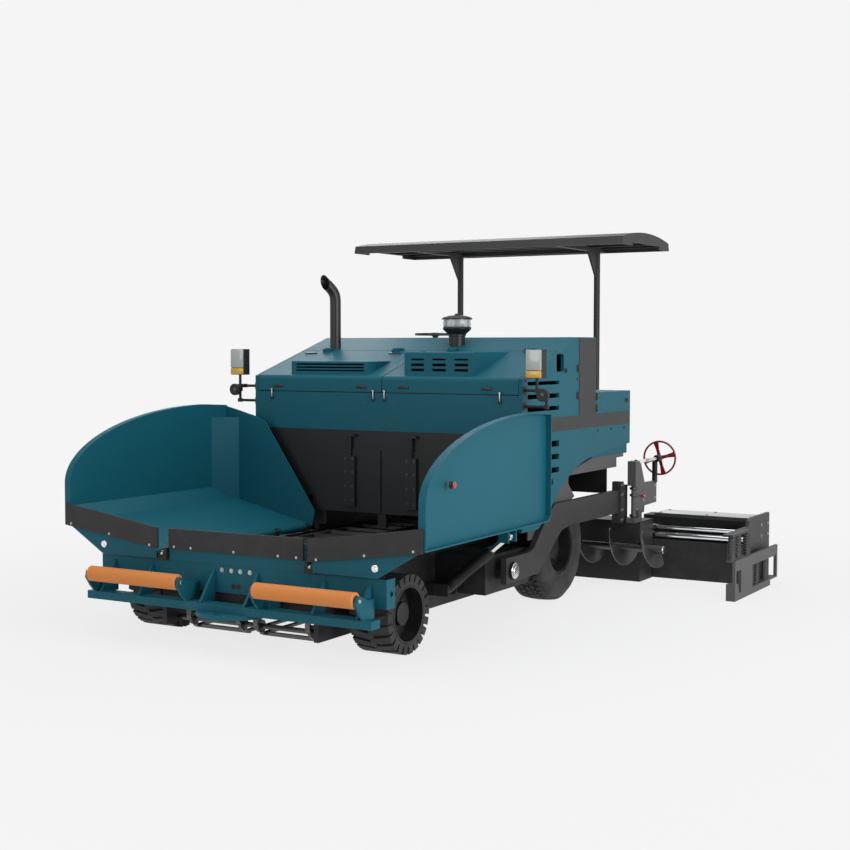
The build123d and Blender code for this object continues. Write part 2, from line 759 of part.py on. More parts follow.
# ---------------------------------------------------------------- body
def side_panels():
    x = (body_half_width - panel, body_half_width)
    # the lower edge rises in one arc over the drive wheel
    arch = ThreePointArc((486, 797), (880, 1077), (1433, 1223))
    rest = Polyline((1433, 1223), (1970, 1274), (body_rear_y, 1293), (body_rear_y, rear_box_top_z),
                    (column_y[1], rear_box_top_z), (column_y[1], ridge_z), (ridge_y, ridge_z), (0, hood_lip_z),
                    (0, 700), (300, 700), (486, 797))
    side = extrude(side_plane(x[0]) * make_face([arch, rest]), panel)
    side -= [block((x[0] - 1, x[1] + 1), y, z) for y, z in side_slots]
    (y0, y1), (z0, z1) = side_window
    centre = Pos((y0 + y1) / 2, (z0 + z1) / 2)
    pane = side_plane(x[0] - 1) * centre * RectangleRounded(y1 - y0, z1 - z0, window_corner)
    side -= extrude(pane, panel + 2)
    return side, other_side(side)


def lid_axis():
    """Place (y, z) of the lids' hinge pins, above the seam behind the lids."""
    y = lid_hinge_y + seam / 2
    return y, slope_z(y) + lid_barrel + 2


def hood_shell():
    inside = body_half_width - panel
    front = block((-inside, inside), (0, panel), (hood_floor_z, lid_seam_z))
    front += block((-inside, inside), (0, 120), (hood_floor_z, hood_floor_z + 20))
    y = lid_hinge_y + seam
    cowl = [(y, slope_z(y)), (ridge_y, ridge_z), (column_y[1], ridge_z), (column_y[1], ridge_z - panel),
            (ridge_y + 10, ridge_z - panel), (y, slope_z(y) - panel)]
    top = side_plate(cowl, (-inside, inside))
    middle, height = lid_axis()
    lug = [(middle - 8, height - 7), (middle - 8, height + 8), (middle + 40, height + 8),
           (middle + 40, slope_z(y) - 5), (y, slope_z(y) - 5), (y, height - 7)]
    ears = []
    for x in (-lid_hinge_x[1], -lid_hinge_x[0], *lid_hinge_x):
        half = lid_hinge_length / 2
        ears.append(rod_x(lid_pin, (x - half, x + half), middle, height))
        ears.append(side_plate(lug, (x - half, x - half + 14)))
        ears.append(side_plate(lug, (x + half - 14, x + half)))
    top += ears
    top -= rod_z(exhaust_radius + running_gap, *exhaust_place, (2000, 2400))
    wall = block((-inside, inside), (column_y[1] - panel, column_y[1]), (deck_z, ridge_z - panel))
    return front + top + wall


def lid(x0, x1):
    """One engine lid: the sloping top with its rounded front lip and its two hinge barrels."""
    y1 = lid_hinge_y
    t = lid_wall
    lip_z = slope_z(lid_lip) - lid_lip
    turn = lid_lip * math.sin(math.radians(45))
    top = Line((lid_lip, slope_z(lid_lip)), (y1, slope_z(y1)))
    bend = ThreePointArc((0, lip_z), (lid_lip - turn, lip_z + turn), (lid_lip, slope_z(lid_lip)))
    rest = Polyline((y1, slope_z(y1)), (y1, slope_z(y1) - t), (t, hood_lip_z - t - 10),
                    (t, lid_seam_z + seam), (0, lid_seam_z + seam), (0, lip_z))
    part = extrude(side_plane(x0) * make_face([top, bend, rest]), x1 - x0)
    middle, height = lid_axis()
    half = lid_hinge_length / 2 - 15
    for place in lid_hinge_x:
        x = place if x0 > 0 else -place
        part += block((x - half, x + half), (middle - 60, middle - 2), (slope_z(middle - 60) - 8, height))
        part += rod_x(lid_barrel, (x - half, x + half), middle, height)
        part -= rod_x(lid_pin + running_gap, (x - half - 1, x + half + 1), middle, height)
    return part


def louvre_box(x, top_z, slots_x, slots_z):
    """A raised hollow box on a lid, level on top, with slots through its front wall."""
    y0, y1 = box_front_y, slope_y(top_z)
    w = box_wall
    outer = [(y0, slope_z(y0) - 10), (y0, top_z - 8), (y0 + 8, top_z), (y1, top_z), (y1, slope_z(y1) - 10)]
    inner = [(y0 + w, slope_z(y0 + w)), (y0 + w, top_z - w), (slope_y(top_z - w), top_z - w)]
    box = side_plate(outer, x) - side_plate(inner, (x[0] + w, x[1] - w))
    return box - [block(sx, (y0 - 1, y0 + w + 1), sz) for sx in slots_x for sz in slots_z]


def lids():
    inside = body_half_width - panel - seam / 2
    left = lid(seam / 2, inside)
    left += louvre_box(left_box_x, left_box_top, left_slots_x, left_slots_z)
    right = lid(-inside, -seam / 2)
    x0, x1 = right_box_x
    right += louvre_box(right_box_x, right_box_top, ((x0 + 45, x1 - 45),), right_slots_z)
    return left, right


def engine_block():
    return block((-engine_x, engine_x), engine_y, engine_z)


def hopper_bulkhead():
    inside = body_half_width - panel
    wall = block((-inside, inside), wall_y, (900, hood_floor_z))
    wall += block((-frame_half_width, frame_half_width), wall_y, (frame_z[1] + 60, 900))
    return wall - [block(mirrored(tunnel_x, side), (0, 50), (conveyor_top_z, tunnel_top_z)) for side in (1, -1)]


def flow_gates():
    """Two gate plates over the tunnels, each with its post and lifting rod."""
    front = wall_y[0] - gate_plate
    gates = []
    for side in (1, -1):
        middle = (tunnel_x[0] + tunnel_x[1]) / 2
        gate = block(mirrored((7, hinge_x - 6), side), (front, wall_y[0]), gate_z)
        post_x = mirrored((middle - gate_post_width / 2, middle + gate_post_width / 2), side)
        gate += block(post_x, (front - gate_post[0], front), (gate_z[1] - 55 - gate_post[1], gate_z[1] - 55))
        gate += rod_z(gate_rod, side * middle, front - gate_post[0] / 2, (gate_z[1] - 60, hood_floor_z - 31))
        gate += block(post_x, (front - gate_post[0], wall_y[0]), (hood_floor_z - 50, hood_floor_z - 30))
        gates.append(gate)
    return gates


def operator_deck():
    inside = body_half_width - panel
    floor = block((-inside, inside), (column_y[1], body_rear_y), (deck_z - deck_thickness, deck_z))
    rear = (-rear_deck_half_width, rear_deck_half_width)
    boxes = [block(rear, (body_rear_y, rear_deck_y), (deck_z - deck_thickness, deck_z)),
             block(rear, (rear_deck_y - panel, rear_deck_y), (deck_z, rear_wall_z))]
    for side in (1, -1):
        x = mirrored((inside - rear_box_width, inside), side)
        box = block(x, (column_y[1], body_rear_y), (deck_z, rear_box_top_z))
        boxes.append(chamfer(box.edges().filter_by(Axis.Y).sort_by(Axis.Z)[-2:], 12))
    return floor + boxes


def fenders():
    """Roof and skirts over a drive wheel; its rear steps up where the lifted tow arm's flange passes."""
    step = arm_flange_y - arm_lift_gap
    low, high = fender_z, fender_z + fender_plate
    top = deck_z - deck_thickness
    skirt_x = (rear_wheel_x[1] + 9, rear_wheel_x[1] + 21)
    skirt = [(300, 690), (486, 780), (696, 940), (853, 1045), (fender_front_y, low + 5), (1083, low + 5),
             (1083, 998), (1205, 889), (1205, 880), (640, 700), (480, 600), (300, 600)]
    roof = block((frame_half_width + 5, body_half_width - 40), (fender_front_y, step), (low, high))
    roof += block((frame_half_width + 5, arm_x[0] - 45), (step, fender_rear_y), (low, high))
    rim = [(fender_front_y, low), (step, low), (step, low + 85), (fender_rear_y, low + 85),
           (fender_rear_y, top), (1433, top), (fender_front_y, low + 30)]
    rim_x = (body_half_width - 60, body_half_width - panel)
    return both(side_plate(skirt, skirt_x) + roof + side_plate(rim, rim_x))


def side_trim():
    x = (body_half_width, body_half_width + trim)
    band = block(x, (100, body_rear_y - 20), stripe_z)
    band += block(x, column_y, (stripe_z[1], ridge_z - 12))
    return band, other_side(band)


# ---------------------------------------------------------------- canopy, exhaust and lamps
def canopy_roof():
    y0, y1 = canopy_y
    z0, z1 = canopy_z
    half = canopy_half_width
    crown = ThreePointArc((y0 + 20, z0 + 70), ((y0 + y1) / 2, z1), (y1 - 20, z0 + 70))
    edge = Polyline((y1 - 20, z0 + 70), (y1, z0), (y0, z0), (y0 + 20, z0 + 70))
    shell = extrude(side_plane(-half) * make_face([crown, edge]), 2 * half)
    hollow_x = (-half + canopy_skin, half - canopy_skin)
    shell -= block(hollow_x, (y0 + canopy_edge, y1 - canopy_edge), (z0 - 1, roof_inner_z))
    notch_y = (y0 + canopy_notch, y1 - canopy_notch)
    return shell - block((-half - 1, half + 1), notch_y, (z0 - 1, z0 + 30))


def canopy_posts():
    """Two posts and the roof's frame, as straight members that meet face to face."""
    rails = (roof_inner_z - rail, roof_inner_z)
    inner = post_x - rail / 2
    members = []
    for side in (1, -1):
        x = mirrored((inner, inner + rail), side)
        members.append(rod_z(post / 2, side * post_x, post_y, (deck_z, rails[0])))
        members.append(block(x, (canopy_y[0] + 60, canopy_y[1] - 60), rails))
        front = post_y - post / 2
        gusset = [(front, rails[0] - 260), (front, rails[0]), (front - 200, rails[0])]
        members.append(side_plate(gusset, mirrored((post_x - 8, post_x + 8), side)))
    for y in (canopy_y[0] + 140, post_y):
        members.append(block((-inner, inner), (y, y + rail), rails))
    return members


def exhaust_pipe():
    """The exhaust: a pipe bent to the right and to the front near its top."""
    x, y = exhaust_place
    foot = slope_z(y) - 60
    points = [(x, y, foot)] + [(x + dx, y + dy, z) for dx, dy, z in exhaust_path]
    path = Polyline(*points)
    start = Plane(origin=points[0])
    pipe = sweep(start * Circle(exhaust_radius), path=path, transition=Transition.RIGHT)
    return pipe - sweep(start * Circle(exhaust_radius - exhaust_wall), path=path, transition=Transition.RIGHT)


def air_cleaner():
    x, y = cleaner_place
    z = slope_z(y) - 25
    stack = []
    for radius, height in cleaner_stack:
        stack.append(rod_z(radius, x, y, (z, z + height)))
        z += height
    front, rear, low = y - 200, y + 200, slope_z(y) - 200
    hood = [(front, slope_z(front)), (rear, slope_z(rear)), (rear, low), (front, low)]
    return stack[0] + stack[1:] - side_plate(hood, (x - 200, x + 200))


def elbow(x, y, z):
    """The square block in which two of the lamp tubes meet."""
    r = lamp_elbow
    return block((x - r, x + r), (y - r, y + r), (z - r, z + r))


def work_lamps():
    """On each side a lamp on its post and a horn, carried by two bent tubes from the side panel."""
    wall = body_half_width
    y = (lamp_y[0] + lamp_y[1]) / 2
    reach = lamp_elbow - 2
    lamp = chamfer(block(lamp_x, lamp_y, lamp_z).edges().filter_by(Axis.Z), 14)
    lamp += rod_z(lamp_tube, lamp_post_x, y, (lamp_arm_z + reach, lamp_z[0]))
    lamp += rod_y(lamp_tube, lamp_post_x, (y + reach, lamp_tube_y - reach), lamp_arm_z)
    lamp += rod_x(lamp_tube, (wall, lamp_post_x - reach), lamp_tube_y, lamp_arm_z)
    lamp += [elbow(lamp_post_x, y, lamp_arm_z), elbow(lamp_post_x, lamp_tube_y, lamp_arm_z)]
    horn = rod_x(lamp_tube, (wall, horn_x - reach), lamp_tube_y, horn_arm_z)
    horn += rod_z(lamp_tube, horn_x, lamp_tube_y, (horn_arm_z + reach, horn_z - reach))
    horn += [elbow(horn_x, lamp_tube_y, horn_arm_z), elbow(horn_x, lamp_tube_y, horn_z)]
    horn += rod_y(horn_radius, horn_x, horn_y, horn_z)
    horn += rod_y(horn_radius / 2, horn_x, (horn_y[1] - 1, lamp_tube_y - reach), horn_z)
    foot_y = (lamp_tube_y - lamp_foot, lamp_tube_y + lamp_foot)
    foot_x = (wall, wall + lamp_foot_plate)
    feet = [block(foot_x, foot_y, (z - lamp_foot, z + lamp_foot)) for z in (lamp_arm_z, horn_arm_z)]
    sets = [lamp + feet[0], horn + feet[1]]
    return sets + [other_side(shape) for shape in sets]


# ---------------------------------------------------------------- operator's place
def console():
    y0, y1 = console_y
    top = console_top_z
    side = [(y0, deck_z), (y0, top), (y0 + 90, top), (y1, top - 150), (y1, top - 220), (y1 - 120, top - 280),
            (y1 - 120, deck_z)]
    box = side_plate(side, console_x)
    x, y, z = steering_place
    wheel = ring(steering_rim, steering_bar, wheel_sides) + rod_z(35, 0, 0, (-20, 12))
    wheel += [Rot(0, 0, angle) * block((20, steering_rim), (-12, 12), (-8, 4)) for angle in (90, 210, 330)]
    return box + rod_z(25, x, y, (top - 60, z)) + Pos(x, y, z) * wheel


def operator_seats():
    y0, y1 = seat_y
    seats = []
    for x in seat_x:
        width = (x - seat_half, x + seat_half)
        seats.append(block(width, (y0, y1 - 20), (seat_z, seat_z + cushion)))
        seats.append(block(width, (y1 - 80, y1), (seat_z + cushion - 20, seat_back_z)))
        seats.append(block((x - pedestal_half, x + pedestal_half), (y0 + 170, y0 + 290), (deck_z, seat_z + 10)))
    return seats


# ---------------------------------------------------------------- augers
def auger_frame():
    half = gearbox_half_width
    under = deck_z - deck_thickness
    part = block((-half, half), (auger_y - 90, auger_y + 90), (auger_z - 110, auger_z + 110))
    part += block((-80, 80), (auger_y + 15, frame_tail_y), (auger_z + 100, under))
    wall_z = (auger_wall_z, under)
    return part + block((-frame_half_width, frame_half_width), (frame_tail_y, frame_tail_y + 25), wall_z)


def auger():
    """A shaft with a screw flight built from flat facets, one ruled solid for every step of its turn."""
    x0, x1 = auger_x
    shaft = rod_x(auger_shaft, (x0, x1), auger_y, auger_z)
    start, end = x0 + 30, x1 - 30
    count = round((end - start) / auger_pitch * flight_steps)
    rise = (end - start) / count
    inner, outer = auger_shaft - 8, auger_radius
    half = flight / 2
    corners = ((-half, inner), (half, inner), (half, outer), (-half, outer))
    rings = []
    for i in range(count + 1):
        turn = math.radians(i * 360 / flight_steps)
        dy, dz = math.cos(turn), math.sin(turn)
        x = start + i * rise
        rings.append([Vector(x + dx, auger_y + r * dy, auger_z + r * dz) for dx, r in corners])
    faces = [facet(rings[0][::-1]), facet(rings[-1])]
    for a, b in zip(rings[:-1], rings[1:]):
        for i in range(4):
            j = (i + 1) % 4
            faces.append(facet((a[i], a[j], b[i])))
            faces.append(facet((a[j], b[j], b[i])))
    blade = Solid(Shell(faces))
    return shaft + blade


def facet(corners):
    return Face(Wire.make_polygon(corners, close=True))


# ---------------------------------------------------------------- tow arms and screed
def tow_arms():
    low, high = arm_level_z
    outline = [(-190, 315), (387, 328), (624, 489), (835, 630), (979, low), (arm_flange_y, low),
               (arm_flange_y, high), (700, high), (560, 780), (300, 540), (200, 519), (-190, 519)]
    arm = side_plate(outline, arm_x)
    arm -= rod_x(arm_pivot_pin + running_gap, (arm_x[0] - 1, arm_x[1] + 1), arm_pivot_y, arm_pivot_z)
    joint = (arm_x[0] - 20, arm_x[1] + 20)
    arm += block(joint, (arm_flange_y, arm_end_y), arm_flange_z)
    arm += block(arm_x, (arm_end_y, screed_front_y), (screed_top_z, arm_flange_z[1] - 40))
    return both(arm)


def screed_box():
    w = screed_half_width
    t = screed_plate
    box = block((-w, w), (screed_front_y, screed_rear_y), (0, screed_top_z))
    box -= block((-w + t, w - t), (screed_front_y + t, screed_rear_y - t), (t, screed_top_z - t))
    guide = block(guide_x, (screed_rear_y, screed_rear_y + guide_depth), guide_z)
    for y, z, r in (tube_low, tube_high):
        guide -= rod_x(r + running_gap, (guide_x[0] - 1, guide_x[1] + 1), y, z)
    return box + both(guide)


def thickness_posts():
    """Screw jacks beside the tow arms, with the plates that carry the handwheels."""
    middle = (jack_x[0] + jack_x[1]) / 2
    z0 = screed_top_z
    jack = block(jack_x, jack_y, (z0, z0 + 40))
    jack += rod_z(jack_screw, middle, jack_screw_y, (z0 + 40, jack_top_z - 5))
    jack += block(jack_x, (jack_screw_y - 50, jack_screw_y + 50), (jack_top_z - 225, jack_top_z))
    jack += block(jack_x, (jack_y[1] - 70, jack_y[1]), (z0 + 40, z0 + 100))
    side = [(2314, 1104), (2435, 1096), (2534, 905), (2842, 901), (2842, 692), (2538, 685),
            (2525, 624), (2314, 624)]
    jack += side_plate(side, (jack_x[0] + 10, jack_x[0] + 25))
    return both(jack)


def handwheels():
    middle = (jack_x[0] + jack_x[1]) / 2
    wheel = ring(wheel_rim, wheel_rim_bar, wheel_sides) + rod_z(30, 0, 0, (-25, 25))
    wheel += [Rot(0, 0, 45 + 90 * i) * block((20, wheel_rim), (-8, 8), (-8, 8)) for i in range(4)]
    wheel = Pos(middle, wheel_y, wheel_z) * Rot(90, 0, 0) * wheel
    return both(wheel + rod_y(wheel_shaft, middle, (jack_screw_y + 50.5, wheel_y), wheel_z))


def extension():
    """The sliding screed extension: a hollow body of two heights, its cover and its end plate."""
    x0, x1 = extension_x
    y0, y1 = extension_front_y, extension_rear_y
    t = screed_plate
    low, high = extension_mold_z, cover_z[0]
    step = y0 + extension_shelf
    outside = [(y0, 0), (y1, 0), (y1, high), (step, high), (step, low), (y0, low)]
    inside = [(y0 + t, t), (y1 - t, t), (y1 - t, high - t), (step + t, high - t), (step + t, low - t),
              (y0 + t, low - t)]
    part = side_plate(outside, (x0, x1)) - side_plate(inside, (x0 + t, x1 - end_wall))
    part += block((screed_half_width + 10, x1), (y0, y1), cover_z)
    # end plate: an arm forward at mid height carries the end gate's springs
    arm = spring_top_z
    foot, head = ski_z - 40, cover_z[1] + 33
    plate = [(y0 - 20, foot), (y1, foot), (y1, head), (2439, head), (2337, arm + 71), (2319, arm + 23),
             (hanger_y, arm + 20), (hanger_y, arm), (2319, arm - 12), (2360, 348), (y0 - 20, 348)]
    part += side_plate(plate, (x1 - end_wall, x1))
    return part + block((x1 - end_wall, x1 + 62), (hanger_y, hanger_y + 510), (arm, arm + 20))


def guide_tubes():
    return [rod_x(r, (guide_x[0] + 5, extension_x[1] - end_wall), y, z) for y, z, r in (tube_low, tube_high)]


def end_gate():
    """The end gate: ski, upright plates, bar and the springs that press it down from the arm."""
    x0, x1 = gate_x
    y0, y1 = gate_y
    low, high = gate_bar_z
    plates = (x1 - gate_panel, x1)
    pieces = [block(gate_x, gate_y, (0, ski_z)), block(plates, (y0, gate_rear_y), gate_bar_z)]
    length, top = ski_nose
    nose = [(y0, ski_z - 5), (y0, top), (y0 + length, top), (y0 + length + 30, ski_z - 5)]
    pieces.append(side_plate(nose, gate_x))
    for y in ((y0, y0 + 35), *gate_plate_y, (gate_rear_y - 41, gate_rear_y)):
        pieces.append(block(plates, y, (ski_z - 12, low + 1)))
    pieces.append(block(gate_x, (y1 - 40, gate_rear_y), (ski_z - 12, ski_z)))
    pieces.append(block(gate_x, (y0, hanger_y + 520), (high - 15, high)))
    middle = (x0 + x1) / 2 - 5
    for y in spring_y:
        pieces.append(rod_z(spring_radius, middle, y, (high - 1, spring_top_z)))
    for y in low_spring_y:
        pieces.append(rod_z(spring_radius - 5, middle, y, (ski_z - 1, low)))
    pieces.append(block((x0, x1 - gate_panel), (2250, gate_rear_y), (low, low + 15)))
    return pieces[0] + pieces[1:]


# ---------------------------------------------------------------- write every node
save("main_frame", main_frame())
save("front_axle", front_axle())
save_pair("knuckle", knuckle())
save_pair("front_tyre", front_tyre())
save_pair("front_rim", front_rim())
save("rear_axle", rear_axle())
save_pair("rear_tyre", rear_tyre())
save_pair("rear_rim", rear_rim())
save("front_bumper", front_bumper())
save_pair("push_roller", push_roller())
save("centre_flap", centre_flap())
save("slat_conveyors", *slat_conveyors())
save("hopper_front", hopper_front())
save_pair("wing", wing())
save_pair("wing_flap", wing_flap())
save_pair("wing_barrel", wing_barrel())
save_pair("wing_rod", wing_rod())
save("side_panels", *side_panels())
save("hood_shell", hood_shell())
lid_left, lid_right = lids()
save("lid_left", lid_left)
save("lid_right", lid_right)
save("engine_block", engine_block())
save("hopper_bulkhead", hopper_bulkhead())
save("flow_gates", *flow_gates())
save("operator_deck", operator_deck())
save("fenders", fenders())
save("side_trim", *side_trim())
save("canopy_roof", canopy_roof())
save("canopy_posts", *canopy_posts())
save("exhaust_pipe", exhaust_pipe())
save("air_cleaner", air_cleaner())
save("work_lamps", *work_lamps())
save("console", console())
save("operator_seats", *operator_seats())
save("auger_frame", auger_frame())
save_pair("auger", auger())
save("tow_arms", tow_arms())
save("screed_box", screed_box())
save("thickness_posts", thickness_posts())
save("handwheels", handwheels())
save_pair("extension", extension())
save_pair("guide_tubes", guide_tubes()[0] + guide_tubes()[1])
save_pair("end_gate", end_gate())
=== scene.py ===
"""Looks of the wheeled asphalt paver: paint, rubber and steel finishes, tyre treads, cushions, bolts and
latches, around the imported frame.  Metres, +Z up, the machine faces -Y and its left side is +X."""

import json
import math

import bmesh
import bpy
from mathutils import Matrix, Vector


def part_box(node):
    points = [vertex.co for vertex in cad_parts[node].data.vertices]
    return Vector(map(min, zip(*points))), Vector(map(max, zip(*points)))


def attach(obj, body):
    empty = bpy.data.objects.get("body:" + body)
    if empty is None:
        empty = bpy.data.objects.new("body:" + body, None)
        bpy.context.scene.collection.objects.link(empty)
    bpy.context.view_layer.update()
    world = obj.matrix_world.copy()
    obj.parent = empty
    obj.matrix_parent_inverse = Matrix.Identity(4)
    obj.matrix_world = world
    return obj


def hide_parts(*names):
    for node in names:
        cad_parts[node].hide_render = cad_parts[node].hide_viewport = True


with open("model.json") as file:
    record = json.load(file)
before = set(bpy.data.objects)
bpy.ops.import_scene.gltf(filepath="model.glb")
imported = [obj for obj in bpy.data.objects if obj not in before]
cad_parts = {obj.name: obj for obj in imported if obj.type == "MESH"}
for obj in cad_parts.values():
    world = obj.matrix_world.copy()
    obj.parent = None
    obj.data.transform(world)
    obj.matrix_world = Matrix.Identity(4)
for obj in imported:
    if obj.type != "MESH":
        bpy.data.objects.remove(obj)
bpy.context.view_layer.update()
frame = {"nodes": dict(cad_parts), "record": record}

NODES = frame["nodes"]
RECORD = frame["record"]
SCENE = bpy.context.scene
SIDES = (("left", 1), ("right", -1))
FORWARD, REARWARD, UPWARD = (0, -1, 0), (0, 1, 0), (0, 0, 1)
FULL_TURN = 2 * math.pi


# ---------------------------------------------------------------- places read from the frame
def low(node):
    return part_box(node)[0]


def high(node):
    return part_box(node)[1]


def middle(node):
    return (low(node) + high(node)) / 2


def outer_x(node, k):
    """The x of a node's end face: its left one for k = 1, its right one for k = -1."""
    return high(node).x if k > 0 else low(node).x


HOOD_FACE_Y = low("side_panels").y      # front face of the hood
BODY_SIDE_X = high("side_panels").x     # outer face of the left body side


def at(x, y, z):
    """A place given in millimetres from the centreline, the hood's front face and the ground."""
    return Vector((x / 1000, HOOD_FACE_Y + y / 1000, z / 1000))


# ---------------------------------------------------------------- node tree helpers
FLOAT, COLOUR, VECTOR = "NodeSocketFloat", "NodeSocketColor", "NodeSocketVector"
COUNT, GEOMETRY, MATERIAL = "NodeSocketInt", "NodeSocketGeometry", "NodeSocketMaterial"


def link(tree, source, target):
    tree.links.new(source, target)


def feed(tree, node, inputs):
    """Gives a node its inputs by name or number: a socket is linked, anything else is its value."""
    for key, value in inputs.items():
        if isinstance(value, bpy.types.NodeSocket):
            link(tree, value, node.inputs[key])
        else:
            node.inputs[key].default_value = value


def add_node(tree, kind, place, inputs=None, **settings):
    """A node at its place in the tree, with its settings and then its inputs."""
    node = tree.nodes.new(kind)
    node.location = place
    for key, value in settings.items():
        setattr(node, key, value)
    feed(tree, node, inputs or {})
    return node


def new_tree(name, kind, inputs, outputs):
    """An empty node group with named sockets: the tree, the sockets it is given, and its end node."""
    tree = bpy.data.node_groups.new(name, kind)
    for label, socket_type, value in inputs:
        socket = tree.interface.new_socket(label, in_out="INPUT", socket_type=socket_type)
        if value is not None:
            socket.default_value = value
    for label, socket_type in outputs:
        tree.interface.new_socket(label, in_out="OUTPUT", socket_type=socket_type)
    start = add_node(tree, "NodeGroupInput", (-900, 0))
    return tree, start.outputs, add_node(tree, "NodeGroupOutput", (900, 0))


def calc(tree, operation, place, *terms, clamp=False):
    """The result of a sum on values or sockets, in their order."""
    return add_node(tree, "ShaderNodeMath", place, dict(enumerate(terms)), operation=operation,
                    use_clamp=clamp).outputs[0]


def remap(tree, place, value, start, end, to=(0.0, 1.0), **settings):
    """A value taken from start..end to the range to, held at its ends."""
    node = add_node(tree, "ShaderNodeMapRange", place, {
        "Value": value, "From Min": start, "From Max": end, "To Min": to[0], "To Max": to[1]}, **settings)
    return node.outputs["Result"]


def noise(tree, place, where, scale, detail, roughness=0.5):
    return add_node(tree, "ShaderNodeTexNoise", place, {
        "Vector": where, "Scale": scale, "Detail": detail, "Roughness": roughness}).outputs["Fac"]


def object_place(tree, place):
    """Object coordinates."""
    return add_node(tree, "ShaderNodeTexCoord", place).outputs["Object"]


# ---------------------------------------------------------------- shared effects
def make_tone_group():
    """Slow change of a paint's colour over a large panel, and small change of its roughness."""
    tree, given, end = new_tree(
        "panel tone", "ShaderNodeTree",
        [("Color", COLOUR, (1, 1, 1, 1)), ("Scale", FLOAT, 1.2), ("Amount", FLOAT, 0.06),
         ("Roughness", FLOAT, 0.4), ("Roughness Change", FLOAT, 0.08)],
        [("Color", COLOUR), ("Roughness", FLOAT)])
    where = object_place(tree, (-900, 300))
    slow = noise(tree, (-650, 300), where, given["Scale"], 3.0, 0.55)
    centred = calc(tree, "SUBTRACT", (-400, 300), slow, 0.5)
    swing = calc(tree, "MULTIPLY", (-200, 300), centred, given["Amount"])
    value = calc(tree, "MULTIPLY_ADD", (0, 300), swing, 2.0, 1.0)
    hue = add_node(tree, "ShaderNodeHueSaturation", (250, 300), {"Value": value, "Color": given["Color"]})
    fast = noise(tree, (-650, 0), where, 38.0, 2.0)
    rough = calc(tree, "SUBTRACT", (-200, 0), fast, 0.5)
    spread = calc(tree, "MULTIPLY_ADD", (0, 0), rough, given["Roughness Change"], given["Roughness"])
    feed(tree, end, {"Color": hue.outputs["Color"], "Roughness": spread})
    return tree


def close_mask(tree, given, end, place, first, second):
    """A mask's usual end: two masks multiplied, times the amount asked for."""
    both = calc(tree, "MULTIPLY", (place[0] - 200, place[1]), first, second)
    feed(tree, end, {"Mask": calc(tree, "MULTIPLY", place, both, given["Amount"], clamp=True)})
    return tree


def make_wear_group():
    """Mask of the outer edges of plates, broken up by a grain: 1 where the paint is rubbed."""
    tree, given, end = new_tree(
        "edge wear", "ShaderNodeTree",
        [("Radius", FLOAT, 0.004), ("Amount", FLOAT, 0.5), ("Grain", FLOAT, 55.0)], [("Mask", FLOAT)])
    bevel = add_node(tree, "ShaderNodeBevel", (-650, 200), {"Radius": given["Radius"]}, samples=2)
    shape = add_node(tree, "ShaderNodeNewGeometry", (-650, 0))
    dot = add_node(tree, "ShaderNodeVectorMath", (-400, 100),
                   {0: bevel.outputs["Normal"], 1: shape.outputs["Normal"]}, operation="DOT_PRODUCT")
    edge = remap(tree, (-200, 100), dot.outputs["Value"], 0.998, 0.90)
    grain = noise(tree, (-650, -300), object_place(tree, (-900, -300)), given["Grain"], 4.0, 0.7)
    broken = remap(tree, (-400, -300), grain, 0.46, 0.62)
    return close_mask(tree, given, end, (200, 0), edge, broken)


def make_dust_group():
    """Mask of fine dust: patchy, and thicker near the ground."""
    tree, given, end = new_tree(
        "road dust", "ShaderNodeTree", [("Amount", FLOAT, 0.2), ("Reach", FLOAT, 0.9)], [("Mask", FLOAT)])
    where = object_place(tree, (-900, 200))
    parts = add_node(tree, "ShaderNodeSeparateXYZ", (-700, 200), {0: where})
    lowness = remap(tree, (-450, 200), parts.outputs["Z"], 0.0, given["Reach"], to=(1.0, 0.0))
    spots = remap(tree, (-200, -100), noise(tree, (-450, -100), where, 7.0, 6.0, 0.65), 0.42, 0.72)
    return close_mask(tree, given, end, (200, 100), lowness, spots)


def make_grain_group():
    """Height of a fine surface: the ripple of sprayed paint, cast iron or moulded rubber."""
    tree, given, end = new_tree(
        "fine grain", "ShaderNodeTree", [("Scale", FLOAT, 220.0), ("Coarse", FLOAT, 0.3)],
        [("Height", FLOAT)])
    where = object_place(tree, (-900, 0))
    fine = noise(tree, (-600, 150), where, given["Scale"], 2.0)
    fifth = calc(tree, "MULTIPLY", (-750, -200), given["Scale"], 0.2)
    coarse = noise(tree, (-600, -200), where, fifth, 3.0)
    mixed = add_node(tree, "ShaderNodeMix", (-300, 0), {0: given["Coarse"], 2: fine, 3: coarse},
                     data_type="FLOAT")
    feed(tree, end, {"Height": mixed.outputs[0]})
    return tree


TONE = make_tone_group()
WEAR = make_wear_group()
DUST = make_dust_group()
GRAIN = make_grain_group()
DUST_COLOUR = (0.20, 0.19, 0.17, 1)
BARE_STEEL = (0.16, 0.16, 0.165, 1)


# ---------------------------------------------------------------- finishes
def effect(tree, group, place, **inputs):
    """One of the shared effects, its inputs given by name."""
    return add_node(tree, "ShaderNodeGroup", place, inputs, node_tree=group)


def empty_material(name):
    material = bpy.data.materials.new(name)
    material.use_nodes = True
    material.node_tree.nodes.clear()
    return material, material.node_tree


def new_material(name, colour, rough, **tone_values):
    """A material, its tree, its Principled shader, and the colour and roughness its tone effect gives."""
    material, tree = empty_material(name)
    shader = add_node(tree, "ShaderNodeBsdfPrincipled", (800, 0))
    add_node(tree, "ShaderNodeOutputMaterial", (1100, 0), {"Surface": shader.outputs["BSDF"]})
    tone = effect(tree, TONE, (-400, 200), Color=colour, Roughness=rough, **tone_values)
    feed(tree, shader, {"Base Color": tone.outputs["Color"], "Roughness": tone.outputs["Roughness"]})
    return material, tree, shader, tone.outputs


